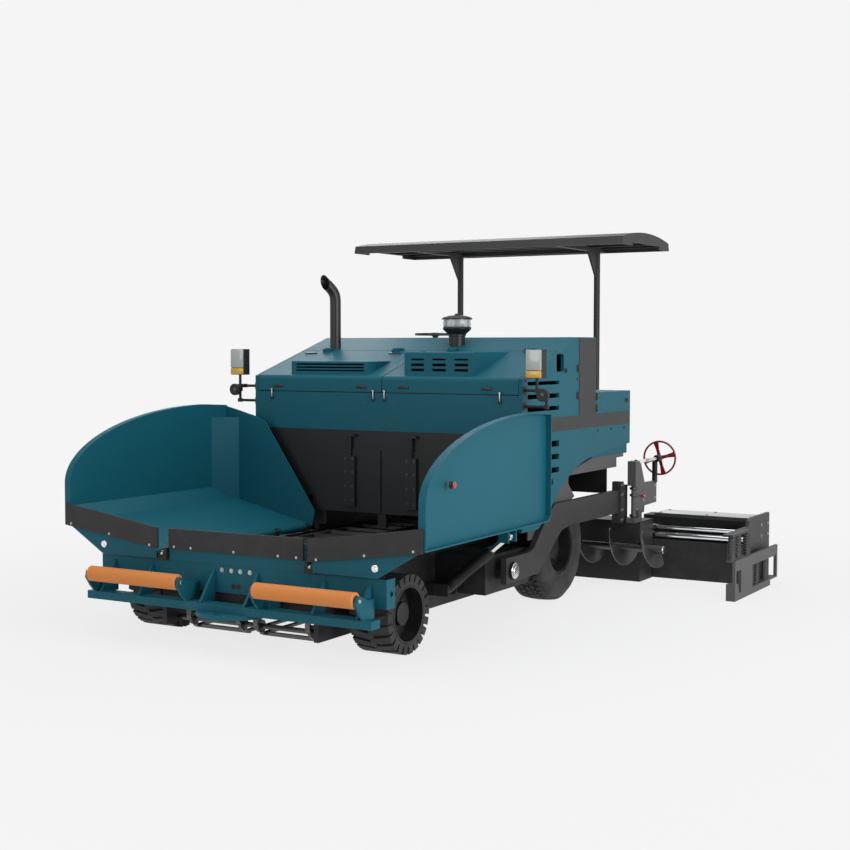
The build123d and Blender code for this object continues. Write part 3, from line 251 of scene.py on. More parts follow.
def mix_colour(tree, mask, first, second, place):
    return add_node(tree, "ShaderNodeMix", place, {0: mask, 6: first, 7: second}, data_type="RGBA").outputs[2]


def add_bump(tree, shader, scale, depth, coarse=0.3):
    grain = effect(tree, GRAIN, (200, -500), Scale=scale, Coarse=coarse)
    bump = add_node(tree, "ShaderNodeBump", (500, -500), {
        "Strength": 1.0, "Distance": depth, "Height": grain.outputs["Height"]})
    link(tree, bump.outputs["Normal"], shader.inputs["Normal"])


def enamel(name, colour, rough, wear=0.35, dust=0.18, coat=0.0, amount=0.05, shine=0.32):
    """Sprayed enamel on steel plate: slow change of tone, rubbed edges, a little dust low down."""
    material, tree, shader, tone = new_material(name, colour, rough, Amount=amount)
    worn = effect(tree, WEAR, (-400, -50), Amount=wear).outputs["Mask"]
    dusty = effect(tree, DUST, (-400, -250), Amount=dust).outputs["Mask"]
    painted = mix_colour(tree, worn, tone["Color"], BARE_STEEL, (0, 200))
    feed(tree, shader, {
        "Base Color": mix_colour(tree, dusty, painted, DUST_COLOUR, (250, 200)),
        "Roughness": calc(tree, "MULTIPLY_ADD", (250, -50), dusty, 0.5, tone["Roughness"], clamp=True),
        "Specular IOR Level": shine, "Coat Weight": coat, "Coat Roughness": 0.12})
    add_bump(tree, shader, 160.0, 0.00025)
    return material


def rubber_finish(name, colour, rough, dust=0.3, scale=260.0, depth=0.0006):
    """Moulded rubber, vinyl or plastic with dust in its grain."""
    material, tree, shader, tone = new_material(name, colour, rough, Amount=0.18, Scale=5.0)
    dusty = effect(tree, DUST, (-400, -250), Amount=dust, Reach=1.3).outputs["Mask"]
    feed(tree, shader, {
        "Base Color": mix_colour(tree, dusty, tone["Color"], DUST_COLOUR, (250, 200)),
        "Specular IOR Level": 0.35})
    add_bump(tree, shader, scale, depth, coarse=0.5)
    return material


def metal_finish(name, colour, rough, depth=0.0003, amount=0.1):
    """Bare or plated metal."""
    material, tree, shader = new_material(name, colour, rough, Amount=amount, Scale=6.0)[:3]
    feed(tree, shader, {"Metallic": 1.0})
    add_bump(tree, shader, 90.0, depth)
    return material


def glass_finish(name, colour, rough, alpha=1.0):
    """A glossy moulded lens or gauge face, seen as a colour under a clear coat."""
    material, tree, shader = new_material(name, colour, rough, Amount=0.10, Scale=9.0)[:3]
    feed(tree, shader, {"Alpha": alpha, "Coat Weight": 0.6, "Coat Roughness": 0.06})
    add_bump(tree, shader, 60.0, 0.0004)
    return material


FINISH = {
    "teal_paint": enamel("teal enamel", (0.006, 0.104, 0.146, 1), 0.50, dust=0.10, shine=0.20),
    "dark_paint": enamel("dark grey enamel", (0.030, 0.030, 0.031, 1), 0.52, dust=0.14),
    "black_paint": enamel("black enamel", (0.009, 0.009, 0.010, 1), 0.50, dust=0.16),
    "grey_paint": enamel("mid grey enamel", (0.085, 0.083, 0.082, 1), 0.5, dust=0.14),
    "orange_paint": enamel("orange enamel", (0.74, 0.255, 0.060, 1), 0.55, wear=0.6, dust=0.0, amount=0.08),
    "red_paint": enamel("dark red enamel", (0.20, 0.006, 0.012, 1), 0.3, coat=0.3, dust=0.0),
    "rubber": rubber_finish("ribbed rubber sheet", (0.026, 0.025, 0.025, 1), 0.68, dust=0.12),
    "tyre": rubber_finish("tyre rubber", (0.022, 0.022, 0.023, 1), 0.68, dust=0.25),
    "chrome": metal_finish("hard chrome", (0.82, 0.82, 0.83, 1), 0.12, amount=0.03, depth=0.00005),
    "steel": metal_finish("worn steel", (0.115, 0.112, 0.110, 1), 0.44),
    "cover_steel": metal_finish("brushed plate", (0.50, 0.50, 0.51, 1), 0.42),
    "seat_vinyl": rubber_finish("seat vinyl", (0.018, 0.018, 0.02, 1), 0.5, dust=0.0, scale=420.0),
    "black_plastic": rubber_finish("black moulded plastic", (0.014, 0.014, 0.015, 1), 0.38, dust=0.1,
                                   depth=0.0002),
    "exhaust": enamel("heat-proof black", (0.016, 0.016, 0.017, 1), 0.34, wear=0.2, dust=0.0),
    "bolt": metal_finish("zinc-plated steel", (0.45, 0.45, 0.44, 1), 0.34, amount=0.05),
    "black_bolt": metal_finish("blackened steel", (0.07, 0.07, 0.072, 1), 0.42),
    "lens": glass_finish("clear ribbed lens", (0.42, 0.44, 0.43, 1), 0.12),
    "yellow": glass_finish("amber lens", (0.62, 0.36, 0.02, 1), 0.18),
    "bowl": glass_finish("clear plastic bowl", (0.72, 0.75, 0.76, 1), 0.08, alpha=0.35),
    "dial": glass_finish("gauge glass", (0.30, 0.30, 0.29, 1), 0.15),
    "red_button": glass_finish("red moulding", (0.45, 0.012, 0.015, 1), 0.28),
}


def finish_cad_nodes():
    """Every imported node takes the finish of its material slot."""
    for part in RECORD["subparts"]:
        body = NODES[part["node"]]
        body.data.materials.clear()
        body.data.materials.append(FINISH[part["material_slot"]])


# ---------------------------------------------------------------- making pieces
def add_object(name, data):
    """An object in the scene."""
    made = bpy.data.objects.new(name, data)
    SCENE.collection.objects.link(made)
    return made


def plain_mesh(carrier):
    """What an object looks like with its modifiers, as a mesh of its own."""
    return bpy.data.meshes.new_from_object(carrier.evaluated_get(bpy.context.evaluated_depsgraph_get()))


def new_piece(name, mesh, body, finish, crease=35):
    """A finished object at the origin that rides on a body, shaded smoothly up to the crease angle."""
    piece = add_object(name, mesh)
    mesh.materials.clear()
    mesh.materials.append(FINISH[finish])
    mesh.shade_smooth()
    mesh.set_sharp_from_angle(angle=math.radians(crease))
    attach(piece, body)
    return piece


def mesh_of(name, bm):
    mesh = bpy.data.meshes.new(name)
    bm.to_mesh(mesh)
    bm.free()
    return mesh


def joined(name, parts):
    """One mesh from several bmeshes."""
    whole = bmesh.new()
    for part in parts:
        piece = mesh_of("part", part)
        whole.from_mesh(piece)
        bpy.data.meshes.remove(piece)
    return mesh_of(name, whole)


def add_piece(name, parts, body, finish, crease=35, stands_for=None):
    """A finished piece from bmeshes; stands_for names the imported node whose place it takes."""
    piece = new_piece(name, joined(name, parts), body, finish, crease)
    if stands_for:
        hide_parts(stands_for)
    return piece


def turned(profile, centre, axis, steps=48, closed=False):
    """A solid of revolution: (radius, distance) pairs turned about an axis through a centre."""
    bm = bmesh.new()
    place = Matrix.Translation(centre) @ Vector(axis).to_track_quat("Z", "Y").to_matrix().to_4x4()
    rings = []
    for radius, distance in profile:
        ring = []
        for i in range(steps if radius > 1e-6 else 1):
            turn = FULL_TURN * i / steps
            point = Vector((radius * math.cos(turn), radius * math.sin(turn), distance))
            ring.append(bm.verts.new(place @ point))
        rings.append(ring)
    pairs = list(zip(rings, rings[1:]))
    if closed:
        pairs.append((rings[-1], rings[0]))
    for a, b in pairs:
        for i in range(steps):
            j = (i + 1) % steps
            corners = [a[i % len(a)], a[j % len(a)], b[j % len(b)], b[i % len(b)]]
            corners = list(dict.fromkeys(corners))
            if len(corners) > 2:
                bm.faces.new(corners)
    bmesh.ops.recalc_face_normals(bm, faces=bm.faces)
    return bm


def skinned(bm, rings):
    """Rings of equal length closed into one solid."""
    for a, b in zip(rings, rings[1:]):
        for i in range(len(a)):
            j = (i + 1) % len(a)
            bm.faces.new((a[i], a[j], b[j], b[i]))
    bm.faces.new(rings[-1])
    bm.faces.new(rings[0][::-1])
    bmesh.ops.recalc_face_normals(bm, faces=bm.faces)
    return bm


def round_section(radius, bar, count=12):
    """The profile of a ring of round bar, for turned()."""
    turns = [FULL_TURN * i / count for i in range(count)]
    return [(radius + bar * math.cos(turn), bar * math.sin(turn)) for turn in turns]


def soft_block(x, y, z, bevel=0.003, segments=2, turn=None):
    """A box between pairs of limits, with rounded edges, turned about its own centre if asked."""
    bm = bmesh.new()
    bmesh.ops.create_cube(bm, size=1)
    size = Vector((x[1] - x[0], y[1] - y[0], z[1] - z[0]))
    centre = Vector((x[0] + x[1], y[0] + y[1], z[0] + z[1])) / 2
    bmesh.ops.scale(bm, vec=size, verts=bm.verts)
    if bevel:
        bmesh.ops.bevel(bm, geom=bm.edges, offset=bevel, segments=segments, affect="EDGES", profile=0.5)
    if turn:
        bmesh.ops.rotate(bm, cent=(0, 0, 0), matrix=turn, verts=bm.verts)
    bmesh.ops.translate(bm, vec=centre, verts=bm.verts)
    return bm


def block_at(place, x, y, z, bevel=0.002, turn=None):
    """A soft block round a place: each reach is one number for both ways, or a pair of limits."""
    limits = []
    for middle_value, reach in zip(place, (x, y, z)):
        start, end = reach if isinstance(reach, tuple) else (-reach, reach)
        limits.append((middle_value + start, middle_value + end))
    return soft_block(*limits, bevel=bevel, turn=turn)


def plate_of(outline, thickness, origin, across, up, bevel):
    """A flat plate: an outline in two directions from an origin, thick along their cross product."""
    bm = bmesh.new()
    across, up = Vector(across), Vector(up)
    face = bm.faces.new([bm.verts.new(Vector(origin) + across * a + up * b) for a, b in outline])
    far_side = bmesh.ops.extrude_face_region(bm, geom=[face])
    moved = [item for item in far_side["geom"] if isinstance(item, bmesh.types.BMVert)]
    bmesh.ops.translate(bm, vec=across.cross(up) * thickness, verts=moved)
    bmesh.ops.recalc_face_normals(bm, faces=bm.faces)
    bmesh.ops.bevel(bm, geom=bm.edges, offset=bevel, segments=1, affect="EDGES")
    return bm


def tube(name, points, radius, wall=0.0, smooth=True, sides=10):
    """A bent tube through points; with a wall it is open at both ends."""
    curve = bpy.data.curves.new(name, "CURVE")
    curve.dimensions = "3D"
    curve.bevel_depth = radius
    curve.bevel_resolution = sides
    curve.use_fill_caps = not wall
    spline = curve.splines.new("NURBS" if smooth else "POLY")
    spline.points.add(len(points) - 1)
    for point, place in zip(spline.points, points):
        point.co = (*place, 1)
    if smooth:
        spline.order_u = 3
        spline.use_endpoint_u = True
        spline.resolution_u = 10
    carrier = add_object(name, curve)
    if wall:
        thick = carrier.modifiers.new("wall", "SOLIDIFY")
        thick.thickness = wall
        thick.offset = -1
    mesh = plain_mesh(carrier)
    bpy.data.objects.remove(carrier)
    bpy.data.curves.remove(curve)
    bm = bmesh.new()
    bm.from_mesh(mesh)
    bpy.data.meshes.remove(mesh)
    bmesh.ops.remove_doubles(bm, verts=bm.verts, dist=1e-6)
    return bm


def helix(foot, radius, wire, height, turns=8, steps=20):
    """A coil spring standing on its foot, as a closed tube of round wire."""
    points = []
    for i in range(int(turns * steps) + 1):
        turn = FULL_TURN * i / steps
        rise = height * i / (turns * steps)
        points.append(Vector(foot) + Vector((radius * math.cos(turn), radius * math.sin(turn), rise)))
    return tube("coil", points, wire, smooth=False, sides=2)


# ---------------------------------------------------------------- repeats
def geometry_tree(name, inputs):
    """An empty geometry tree with a mesh, the named inputs and a material given to it."""
    inputs = [("Geometry", GEOMETRY, None), *inputs, ("Material", MATERIAL, None)]
    return new_tree(name, "GeometryNodeTree", inputs, [("Geometry", GEOMETRY)])


def close_tree(tree, given, end, points, piece, turn=None):
    """The usual end of a geometry tree: a copy at every point, made real, with its material."""
    copies = add_node(tree, "GeometryNodeInstanceOnPoints", (100, 0), {"Points": points, "Instance": piece})
    if turn:
        link(tree, turn, copies.inputs["Rotation"])
    real = add_node(tree, "GeometryNodeRealizeInstances", (500, 0), {"Geometry": copies.outputs["Instances"]})
    paint = add_node(tree, "GeometryNodeSetMaterial", (700, 0), {
        "Geometry": real.outputs["Geometry"], "Material": given["Material"]})
    feed(tree, end, {"Geometry": paint.outputs["Geometry"]})
    return tree


def make_around_axle():
    """Copies of one sector turned round a cross axle."""
    tree, given, end = geometry_tree(
        "copies round an axle", [("Count", COUNT, 12), ("Centre", VECTOR, (0, 0, 0))])
    away = add_node(tree, "ShaderNodeVectorMath", (-700, -200), {0: given["Centre"], "Scale": -1},
                    operation="SCALE")
    sector = add_node(tree, "GeometryNodeTransform", (-400, -100), {
        "Geometry": given["Geometry"], "Translation": away.outputs["Vector"]})
    points = add_node(tree, "GeometryNodePoints", (-400, 200), {
        "Count": given["Count"], "Position": given["Centre"]})
    index = add_node(tree, "GeometryNodeInputIndex", (-900, 500))
    share = calc(tree, "DIVIDE", (-700, 500), index.outputs[0], given["Count"])
    angle = calc(tree, "MULTIPLY", (-500, 500), share, FULL_TURN)
    turn = add_node(tree, "ShaderNodeCombineXYZ", (-300, 500), {"X": angle})
    return close_tree(tree, given, end, points.outputs[0], sector.outputs["Geometry"], turn.outputs[0])


def make_in_a_row():
    """Copies of one piece, each a step further on."""
    tree, given, end = geometry_tree("copies in a row", [("Count", COUNT, 5), ("Step", VECTOR, (0.1, 0, 0))])
    index = add_node(tree, "GeometryNodeInputIndex", (-900, 400))
    place = add_node(tree, "ShaderNodeVectorMath", (-600, 300), {
        0: given["Step"], "Scale": index.outputs[0]}, operation="SCALE")
    points = add_node(tree, "GeometryNodePoints", (-300, 200), {
        "Count": given["Count"], "Position": place.outputs["Vector"]})
    return close_tree(tree, given, end, points.outputs[0], given["Geometry"])


def make_bolt_heads():
    """A hexagon head on a washer at every point, all facing one way."""
    tree, given, end = geometry_tree("bolt heads", [
        ("Head", FLOAT, 0.010), ("Height", FLOAT, 0.007), ("Washer", FLOAT, 0.014),
        ("Facing", VECTOR, FORWARD)])
    washer_depth = 0.002
    both = add_node(tree, "GeometryNodeJoinGeometry", (-100, 200))
    for radius, sides, depth, y in (("Head", 6, given["Height"], 300), ("Washer", 16, washer_depth, 0)):
        solid = add_node(tree, "GeometryNodeMeshCylinder", (-600, y), {
            "Vertices": sides, "Radius": given[radius], "Depth": depth})
        raised = calc(tree, "MULTIPLY", (-600, y - 500), depth, 0.5)
        offset = add_node(tree, "ShaderNodeCombineXYZ", (-450, y - 500), {"Z": raised})
        lifted = add_node(tree, "GeometryNodeTransform", (-300, y), {
            "Geometry": solid.outputs["Mesh"], "Translation": offset.outputs[0]})
        link(tree, lifted.outputs["Geometry"], both.inputs["Geometry"])
    facing = add_node(tree, "FunctionNodeAlignRotationToVector", (-300, -500), {"Vector": given["Facing"]},
                      axis="Z")
    return close_tree(tree, given, end, given["Geometry"], both.outputs["Geometry"],
                      facing.outputs["Rotation"])


AROUND_AXLE = make_around_axle()
IN_A_ROW = make_in_a_row()
BOLT_HEADS = make_bolt_heads()


def grown(name, mesh, tree, body, finish, crease=35, **values):
    """A piece that a geometry tree grows from a mesh, made plain before it rides on anything."""
    carrier = add_object(name, mesh)
    modifier = carrier.modifiers.new("repeat", "NODES")
    modifier.node_group = tree
    values["Material"] = FINISH[finish]
    for item in tree.interface.items_tree:
        if item.in_out == "INPUT" and item.name in values:
            modifier[item.identifier] = values[item.name]
    plain = plain_mesh(carrier)
    bpy.data.objects.remove(carrier)
    return new_piece(name, plain, body, finish, crease)


def bolts(name, places, facing, body, finish="bolt", head=0.010, height=0.007, washer=0.015):
    """Bolt heads on washers at a list of places."""
    mesh = bpy.data.meshes.new(name)
    mesh.from_pydata([tuple(place) for place in places], [], [])
    return grown(name, mesh, BOLT_HEADS, body, finish, Head=head, Height=height, Washer=washer,
                 Facing=facing)


# ---------------------------------------------------------------- wheels
TOP_EDGE = 0.0015       # height of the rounded upper edge of a tread block


def tread_block(outline, centre, outer, inner, drop, top_inset=0.0015):
    """One tread block: an outline of (x, distance round the tyre) lifted between two radii.

    drop(x) is how much lower the crown is at x than at the middle of the tyre."""
    bm = bmesh.new()
    middle_x = sum(x for x, s in outline) / len(outline)
    middle_s = sum(s for x, s in outline) / len(outline)
    rings = []
    for radius, shrink in ((inner, 0.0), (outer - TOP_EDGE, 0.0), (outer, top_inset)):
        ring = []
        for x, s in outline:
            dx, ds = middle_x - x, middle_s - s
            far = math.hypot(dx, ds)
            x += dx / far * shrink
            turn = (s + ds / far * shrink) / outer
            r = radius - drop(x)
            corner = Vector((x - centre.x, r * math.sin(turn), -r * math.cos(turn)))
            ring.append(bm.verts.new(centre + corner))
        rings.append(ring)
    return skinned(bm, rings)


def tyre_size(tyre, rim):
    """A tyre's centre, half width and radius, and the radius of its bead just outside the rim."""
    reach = (high(tyre) - low(tyre)) / 2
    return middle(tyre), reach.x, reach.z, (high(rim).z - low(rim).z) / 2 + 0.001


def mirrored(half_section):
    """A tyre's section from the half between its left bead and its middle."""
    return half_section + [(r, -x) for r, x in reversed(half_section[:-1])]


def drive_tyre(side):
    """The drive tyre: a moulded carcass and five zigzag ribs cut across into road-tread blocks."""
    node, body = f"rear_tyre_{side}", f"rear_wheel_{side}"
    centre, half, radius, bead = tyre_size(node, f"rear_rim_{side}")
    depth = 0.015
    base = radius - depth

    def drop(x):
        """The crown's round shape across the tyre."""
        share = abs(x - centre.x) / half
        return 0.020 * share ** 3 + 0.004 * share

    wall = [(bead, half - 0.016), (bead + 0.020, half - 0.015), (bead + 0.030, half - 0.006),
            (bead + 0.062, half - 0.002), (bead + 0.095, half), (bead + 0.130, half),
            (bead + 0.168, half - 0.005), (bead + 0.176, half - 0.012), (bead + 0.182, half - 0.012),
            (base - 0.030, half - 0.020), (base - 0.016, half - 0.032)]
    crown = [(base - drop(centre.x + x), x) for x in (half * 0.74, half * 0.5, half * 0.25, 0)]
    section = mirrored(wall + crown) + [(bead - 0.002, -half + 0.04), (bead - 0.002, half - 0.04)]
    carcass = turned(section, centre, (1, 0, 0), steps=120, closed=True)
    add_piece(f"{node}_carcass", [carcass], body, "tyre", crease=50)

    pitches, sipe, gap, zigzag = 46, 0.013, 0.008, 0.013
    arc = FULL_TURN * radius / pitches
    long = arc - sipe
    edges = [-0.76, -0.44, -0.15, 0.15, 0.44, 0.76]
    blocks = []
    for row, (a, b) in enumerate(zip(edges, edges[1:])):
        xa, xb = centre.x + a * half + gap / 2, centre.x + b * half - gap / 2
        xm = (xa + xb) / 2
        lean = zigzag if row % 2 else -zigzag
        shift = (row % 2) * arc / 2
        outline = [(xa, shift), (xm, shift + lean), (xb, shift), (xb, shift + long),
                   (xm, shift + lean + long), (xa, shift + long)]
        blocks.append(tread_block(outline, centre, radius, base - 0.004, drop))
    piece = grown(f"{node}_tread", joined("tread pitch", blocks), AROUND_AXLE, body, "tyre",
                  Count=pitches, Centre=tuple(centre))
    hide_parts(node)


def front_tyre(side):
    """The solid front tyre: a smooth ring with slanting lugs that meet in the middle of its tread."""
    node, body = f"front_tyre_{side}", f"front_wheel_{side}"
    centre, half, radius, bead = tyre_size(node, f"front_rim_{side}")
    base = radius - 0.026
    section = mirrored([(bead, half - 0.004), (bead + 0.006, half), (bead + 0.022, half),
                        (bead + 0.030, half - 0.012), (base - 0.010, half - 0.022), (base, half - 0.030),
                        (base + 0.002, 0)])
    carcass = turned(section, centre, (1, 0, 0), steps=96, closed=True)
    add_piece(f"{node}_carcass", [carcass], body, "tyre", crease=50)
    count = 22
    arc = FULL_TURN * radius / count
    long = arc * 0.70

    def level(x):
        """A solid tyre's tread is flat across."""
        return 0.0

    lug = [(half, 0.0), (half, long), (0.052, long + 0.024), (-0.016, long + 0.028), (-0.016, 0.034),
           (0.052, 0.024)]
    wall_block = [(half - 0.001, 0.001), (half - 0.001, long - 0.001), (half - 0.036, long - 0.001),
                  (half - 0.036, 0.001)]
    lugs = []
    for k, start in ((1, 0.0), (-1, arc / 2)):
        for outline, outer, inner, inset in ((lug, radius, base - 0.003, 0.002),
                                             (wall_block, base + 0.008, base - 0.034, 0.001)):
            placed = [(centre.x + k * x, start + s) for x, s in outline]
            lugs.append(tread_block(placed, centre, outer, inner, level, inset))
    piece = grown(f"{node}_lugs", joined("lug pitch", lugs), AROUND_AXLE, body, "tyre",
                  Count=count, Centre=tuple(centre))
    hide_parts(node)


def wheel_nuts(side, k):
    """A ring of nuts and a greased hub cap on each wheel's disc."""
    for end, inset, ring_radius, count, cap in (("front", 0.120, 0.115, 8, 0.062),
                                                ("rear", 0.105, 0.150, 10, 0.085)):
        node, body = f"{end}_rim_{side}", f"{end}_wheel_{side}"
        hub = middle(node)
        face = Vector((outer_x(node, k) - k * inset, hub.y, hub.z))
        nut = turned([(0, 0.020), (0.011, 0.020), (0.014, 0.017), (0.014, 0.004), (0.019, 0.004), (0.019, 0),
                      (0, 0)], face + Vector((0, 0, ring_radius)), (k, 0, 0), steps=6)
        grown(f"{node}_nuts", joined("nut", [nut]), AROUND_AXLE, body, "black_bolt", crease=20,
              Count=count, Centre=tuple(hub))
        band = turned([(ring_radius + 0.030, 0), (ring_radius + 0.030, 0.004), (ring_radius + 0.026, 0.006),
                       (cap + 0.010, 0.006), (cap, 0.030), (cap - 0.010, 0.040), (0, 0.044), (0, 0)],
                      face, (k, 0, 0))
        add_piece(f"{node}_cap", [band], body, "black_paint")


def make_wheels():
    for side, k in SIDES:
        drive_tyre(side)
        front_tyre(side)
        wheel_nuts(side, k)


# ---------------------------------------------------------------- front end and hopper
def roller_ends(side):
    """Bearing covers at both ends of a push roller, and the nuts of its pin outside the brackets."""
    node, body = f"push_roller_{side}", f"roller_{side}"
    centre = middle(node)
    radius = (high(node).z - low(node).z) / 2
    cover = [(0, 0.001), (radius * 0.62, 0.001), (radius * 0.66, -0.002), (radius * 0.66, -0.012),
             (0, -0.012)]
    nut = [(0, 0.010), (0.014, 0.010), (0.017, 0.007), (0.017, 0), (0, 0)]
    covers, nuts = [], []
    for end in (1, -1):
        pin_end = Vector((outer_x(node, end), centre.y, centre.z))
        inside = Vector((end * 0.0235, 0, 0))
        covers.append(turned(cover, pin_end - inside, (end, 0, 0), steps=32))
        nuts.append(turned(nut, pin_end, (end, 0, 0), steps=6))
    add_piece(f"{node}_covers", covers, body, "black_paint")
    add_piece(f"{node}_nuts", nuts, body, "bolt", crease=20)


def flap_bolts():
    """Rows of bolts that clamp the rubber flaps."""
    for side, k in SIDES:
        node = f"wing_flap_{side}"
        inner, outer = outer_x(node, -k), outer_x(node, k)
        places = [(inner + (outer - inner) * share, low(node).y, low(node).z + 0.012 + 0.130 * share)
                  for share in (0.08, 0.51, 0.93)]
        bolts(f"{node}_bolts", places, FORWARD, f"hopper_wing_{side}", head=0.007, washer=0.010)
    start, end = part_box("centre_flap")
    places = [(start.x + (end.x - start.x) * share, start.y, start.z + 0.016)
              for share in (0.045, 0.175, 0.50, 0.825, 0.955)]
    bolts("centre_flap_bolts", places, FORWARD, "chassis", head=0.007, washer=0.010)


def apron_pins():
    """A bright round pin head on the front apron of each wing, and the ends of the hinge pins."""
    for side, k in SIDES:
        face = low(f"wing_{side}").y
        pin = turned([(0, 0.008), (0.012, 0.008), (0.014, 0.005), (0.024, 0.005), (0.027, 0.002),
                      (0.027, -0.002), (0, -0.002)], Vector((k * 1.205, face, 0.680)), FORWARD, steps=40)
        add_piece(f"wing_{side}_pin", [pin], f"hopper_wing_{side}", "chrome")
        end = turned([(0, 0.006), (0.009, 0.006), (0.011, 0.003), (0.011, -0.001), (0, -0.001)],
                     at(k * 660, -2009, 645), FORWARD, steps=24)
        add_piece(f"hinge_pin_end_{side}", [end], "chassis", "bolt")


def front_plate_fixings():
    """Bolts on the plate between the towing gussets, and rims round two holes whose insides are painted
    shade: black discs flush with the plate.
    """
    plate_y = at(0, -1980, 0).y
    bolts("hitch_plate_bolts", [(x, plate_y, 0.560) for x in (-0.125, -0.040, 0.040, 0.125)], FORWARD,
          "chassis", head=0.011, washer=0.017)
    rim = [(0.012, 0.003), (0.019, 0.003), (0.019, -0.002), (0.012, -0.002)]
    # Painted shade: a black disc fills each hole in place of its dark inside.
    hole_shade_disc = [(0, 0.0005), (0.0125, 0.0005), (0.0125, -0.002), (0, -0.002)]
    rims = []
    for x in (-0.022, 0.022):
        place = Vector((x, plate_y, 0.450))
        rims.append(turned(rim, place, FORWARD, steps=24, closed=True))
        rims.append(turned(hole_shade_disc, place, FORWARD, steps=24))
    add_piece("hitch_plate_rims_and_hole_shade", rims, "chassis", "black_paint")


def wing_buttons():
    """A red stop button on a black base on the outer wall of each wing."""
    for side, k in SIDES:
        body = f"hopper_wing_{side}"
        centre = Vector((outer_x(f"wing_{side}", k), at(0, -1690, 0).y, 1.235))
        base = turned([(0, 0.010), (0.026, 0.010), (0.029, 0.007), (0.029, -0.001), (0, -0.001)], centre,
                      (k, 0, 0), steps=32)
        knob = turned([(0, 0.034), (0.012, 0.034), (0.020, 0.030), (0.022, 0.024), (0.020, 0.018),
                       (0.010, 0.016), (0.010, 0.009), (0, 0.009)], centre, (k, 0, 0), steps=32)
        add_piece(f"stop_base_{side}", [base], body, "black_plastic")
        add_piece(f"stop_button_{side}", [knob], body, "red_button")


def gate_post_bolts():
    """The bolts that hold the flow gates' posts."""
    y = at(0, -36, 0).y
    places = [(k * 0.300 + dx, y, z) for k in (1, -1) for z in (0.88, 1.00, 1.12, 1.23)
              for dx in (-0.034, 0.034)]
    bolts("gate_post_bolts", places, FORWARD, "chassis", finish="black_bolt", head=0.008, washer=0.012)


def conveyor_links():
    """Link plates with rollers along the conveyors' top strands."""
    strand_low, strand_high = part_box("slat_conveyors")
    top = strand_high.z - 0.008
    start, stop = strand_low.y + 0.130, strand_high.y - 0.130
    pitch, plate_reach = 0.050, 0.014
    count = int((stop - start) / pitch)
    for side, k in SIDES:
        for index, x in enumerate((0.080, 0.535)):
            foot = Vector((k * x, start, top))
            parts = [block_at(foot + Vector((dx, 0, 0)), 0.002, (0, 0.044), (-0.010, 0.006), bevel=0)
                     for dx in (-plate_reach, plate_reach)]
            parts.append(turned([(0, 0.017), (0.006, 0.017), (0.006, -0.017), (0, -0.017)],
                                foot + Vector((0, 0.022, 0.001)), (1, 0, 0), steps=8))
            grown(f"strand_links_{side}_{index}", joined("link", parts), IN_A_ROW, "chassis", "steel",
                  Count=count, Step=(0, pitch, 0))


def make_front():
    for side, _ in SIDES:
        roller_ends(side)
    flap_bolts()
    apron_pins()
    front_plate_fixings()
    wing_buttons()
    gate_post_bolts()
    conveyor_links()


# ---------------------------------------------------------------- hood and body sides
LIP_Z = 1919                # upper edge of the hood's front face, mm
SLOPE = 336 / 1117          # rise of the hood's slope


def slope_z(y):
    """Height in mm of the hood's slope at a distance behind its front face."""
    return LIP_Z + SLOPE * y


def draw_latches():
    """Over-centre latches across the seam of the hood's front face: keeper, foot and bright lever."""
    plates, levers = [], []
    for x in (-1117, -80, 30, 1105):
        base = at(x, 0, 1775)
        plates.append(block_at(base, 0.014, (-0.008, 0.002), (0.018, 0.040)))
        plates.append(block_at(base, 0.014, (-0.010, 0.002), (-0.056, -0.026)))
        levers.append(block_at(base, 0.0045, (-0.014, -0.007), (-0.040, 0.024)))
        levers.append(block_at(base, 0.010, (-0.016, -0.007), (0.022, 0.034)))
    add_piece("latch_plates", plates, "chassis", "black_plastic")
    add_piece("latch_levers", levers, "chassis", "bolt")


def lid_handles():
    """Grips near the front edge of each lid and rubber stops at the ends of its rear edge."""
    turn = Matrix.Rotation(math.atan(SLOPE), 3, "X")
    for side, grips, stops in (("left", (212, 986), (112, 1085)), ("right", (-1050, -200), (-1150, -262))):
        parts = [block_at(at(x, 0, 1835), 0.050, (-0.007, 0.001), 0.011, bevel=0.004) for x in grips]
        parts += [block_at(at(x, 640, slope_z(640)), 0.062, 0.014, (-0.004, 0.008), bevel=0.003, turn=turn)
                  for x in stops]
        add_piece(f"lid_grips_{side}", parts, f"engine_lid_{side}", "black_plastic")


def hood_bolts():
    """Bolts on the hood's front face, and a black strip behind the seam of the lids that closes the gap and
    paints it as shade.
    """
    y = HOOD_FACE_Y
    bolts("hood_front_bolts", [(x, y, z) for x in (-1.15, -0.165, 0.125, 1.15) for z in (1.565, 1.700)],
          FORWARD, "chassis", finish="black_bolt", head=0.006, height=0.004, washer=0.009)
    # Painted shade: a black strip behind the lids' seam keeps the gap dark.
    seam_shade_strip = soft_block((-1.240, 1.240), (y + 0.036, y + 0.048), (1.762, 1.815), bevel=0.004)
    add_piece("lid_seam_shade", [seam_shade_strip], "chassis", "black_plastic")


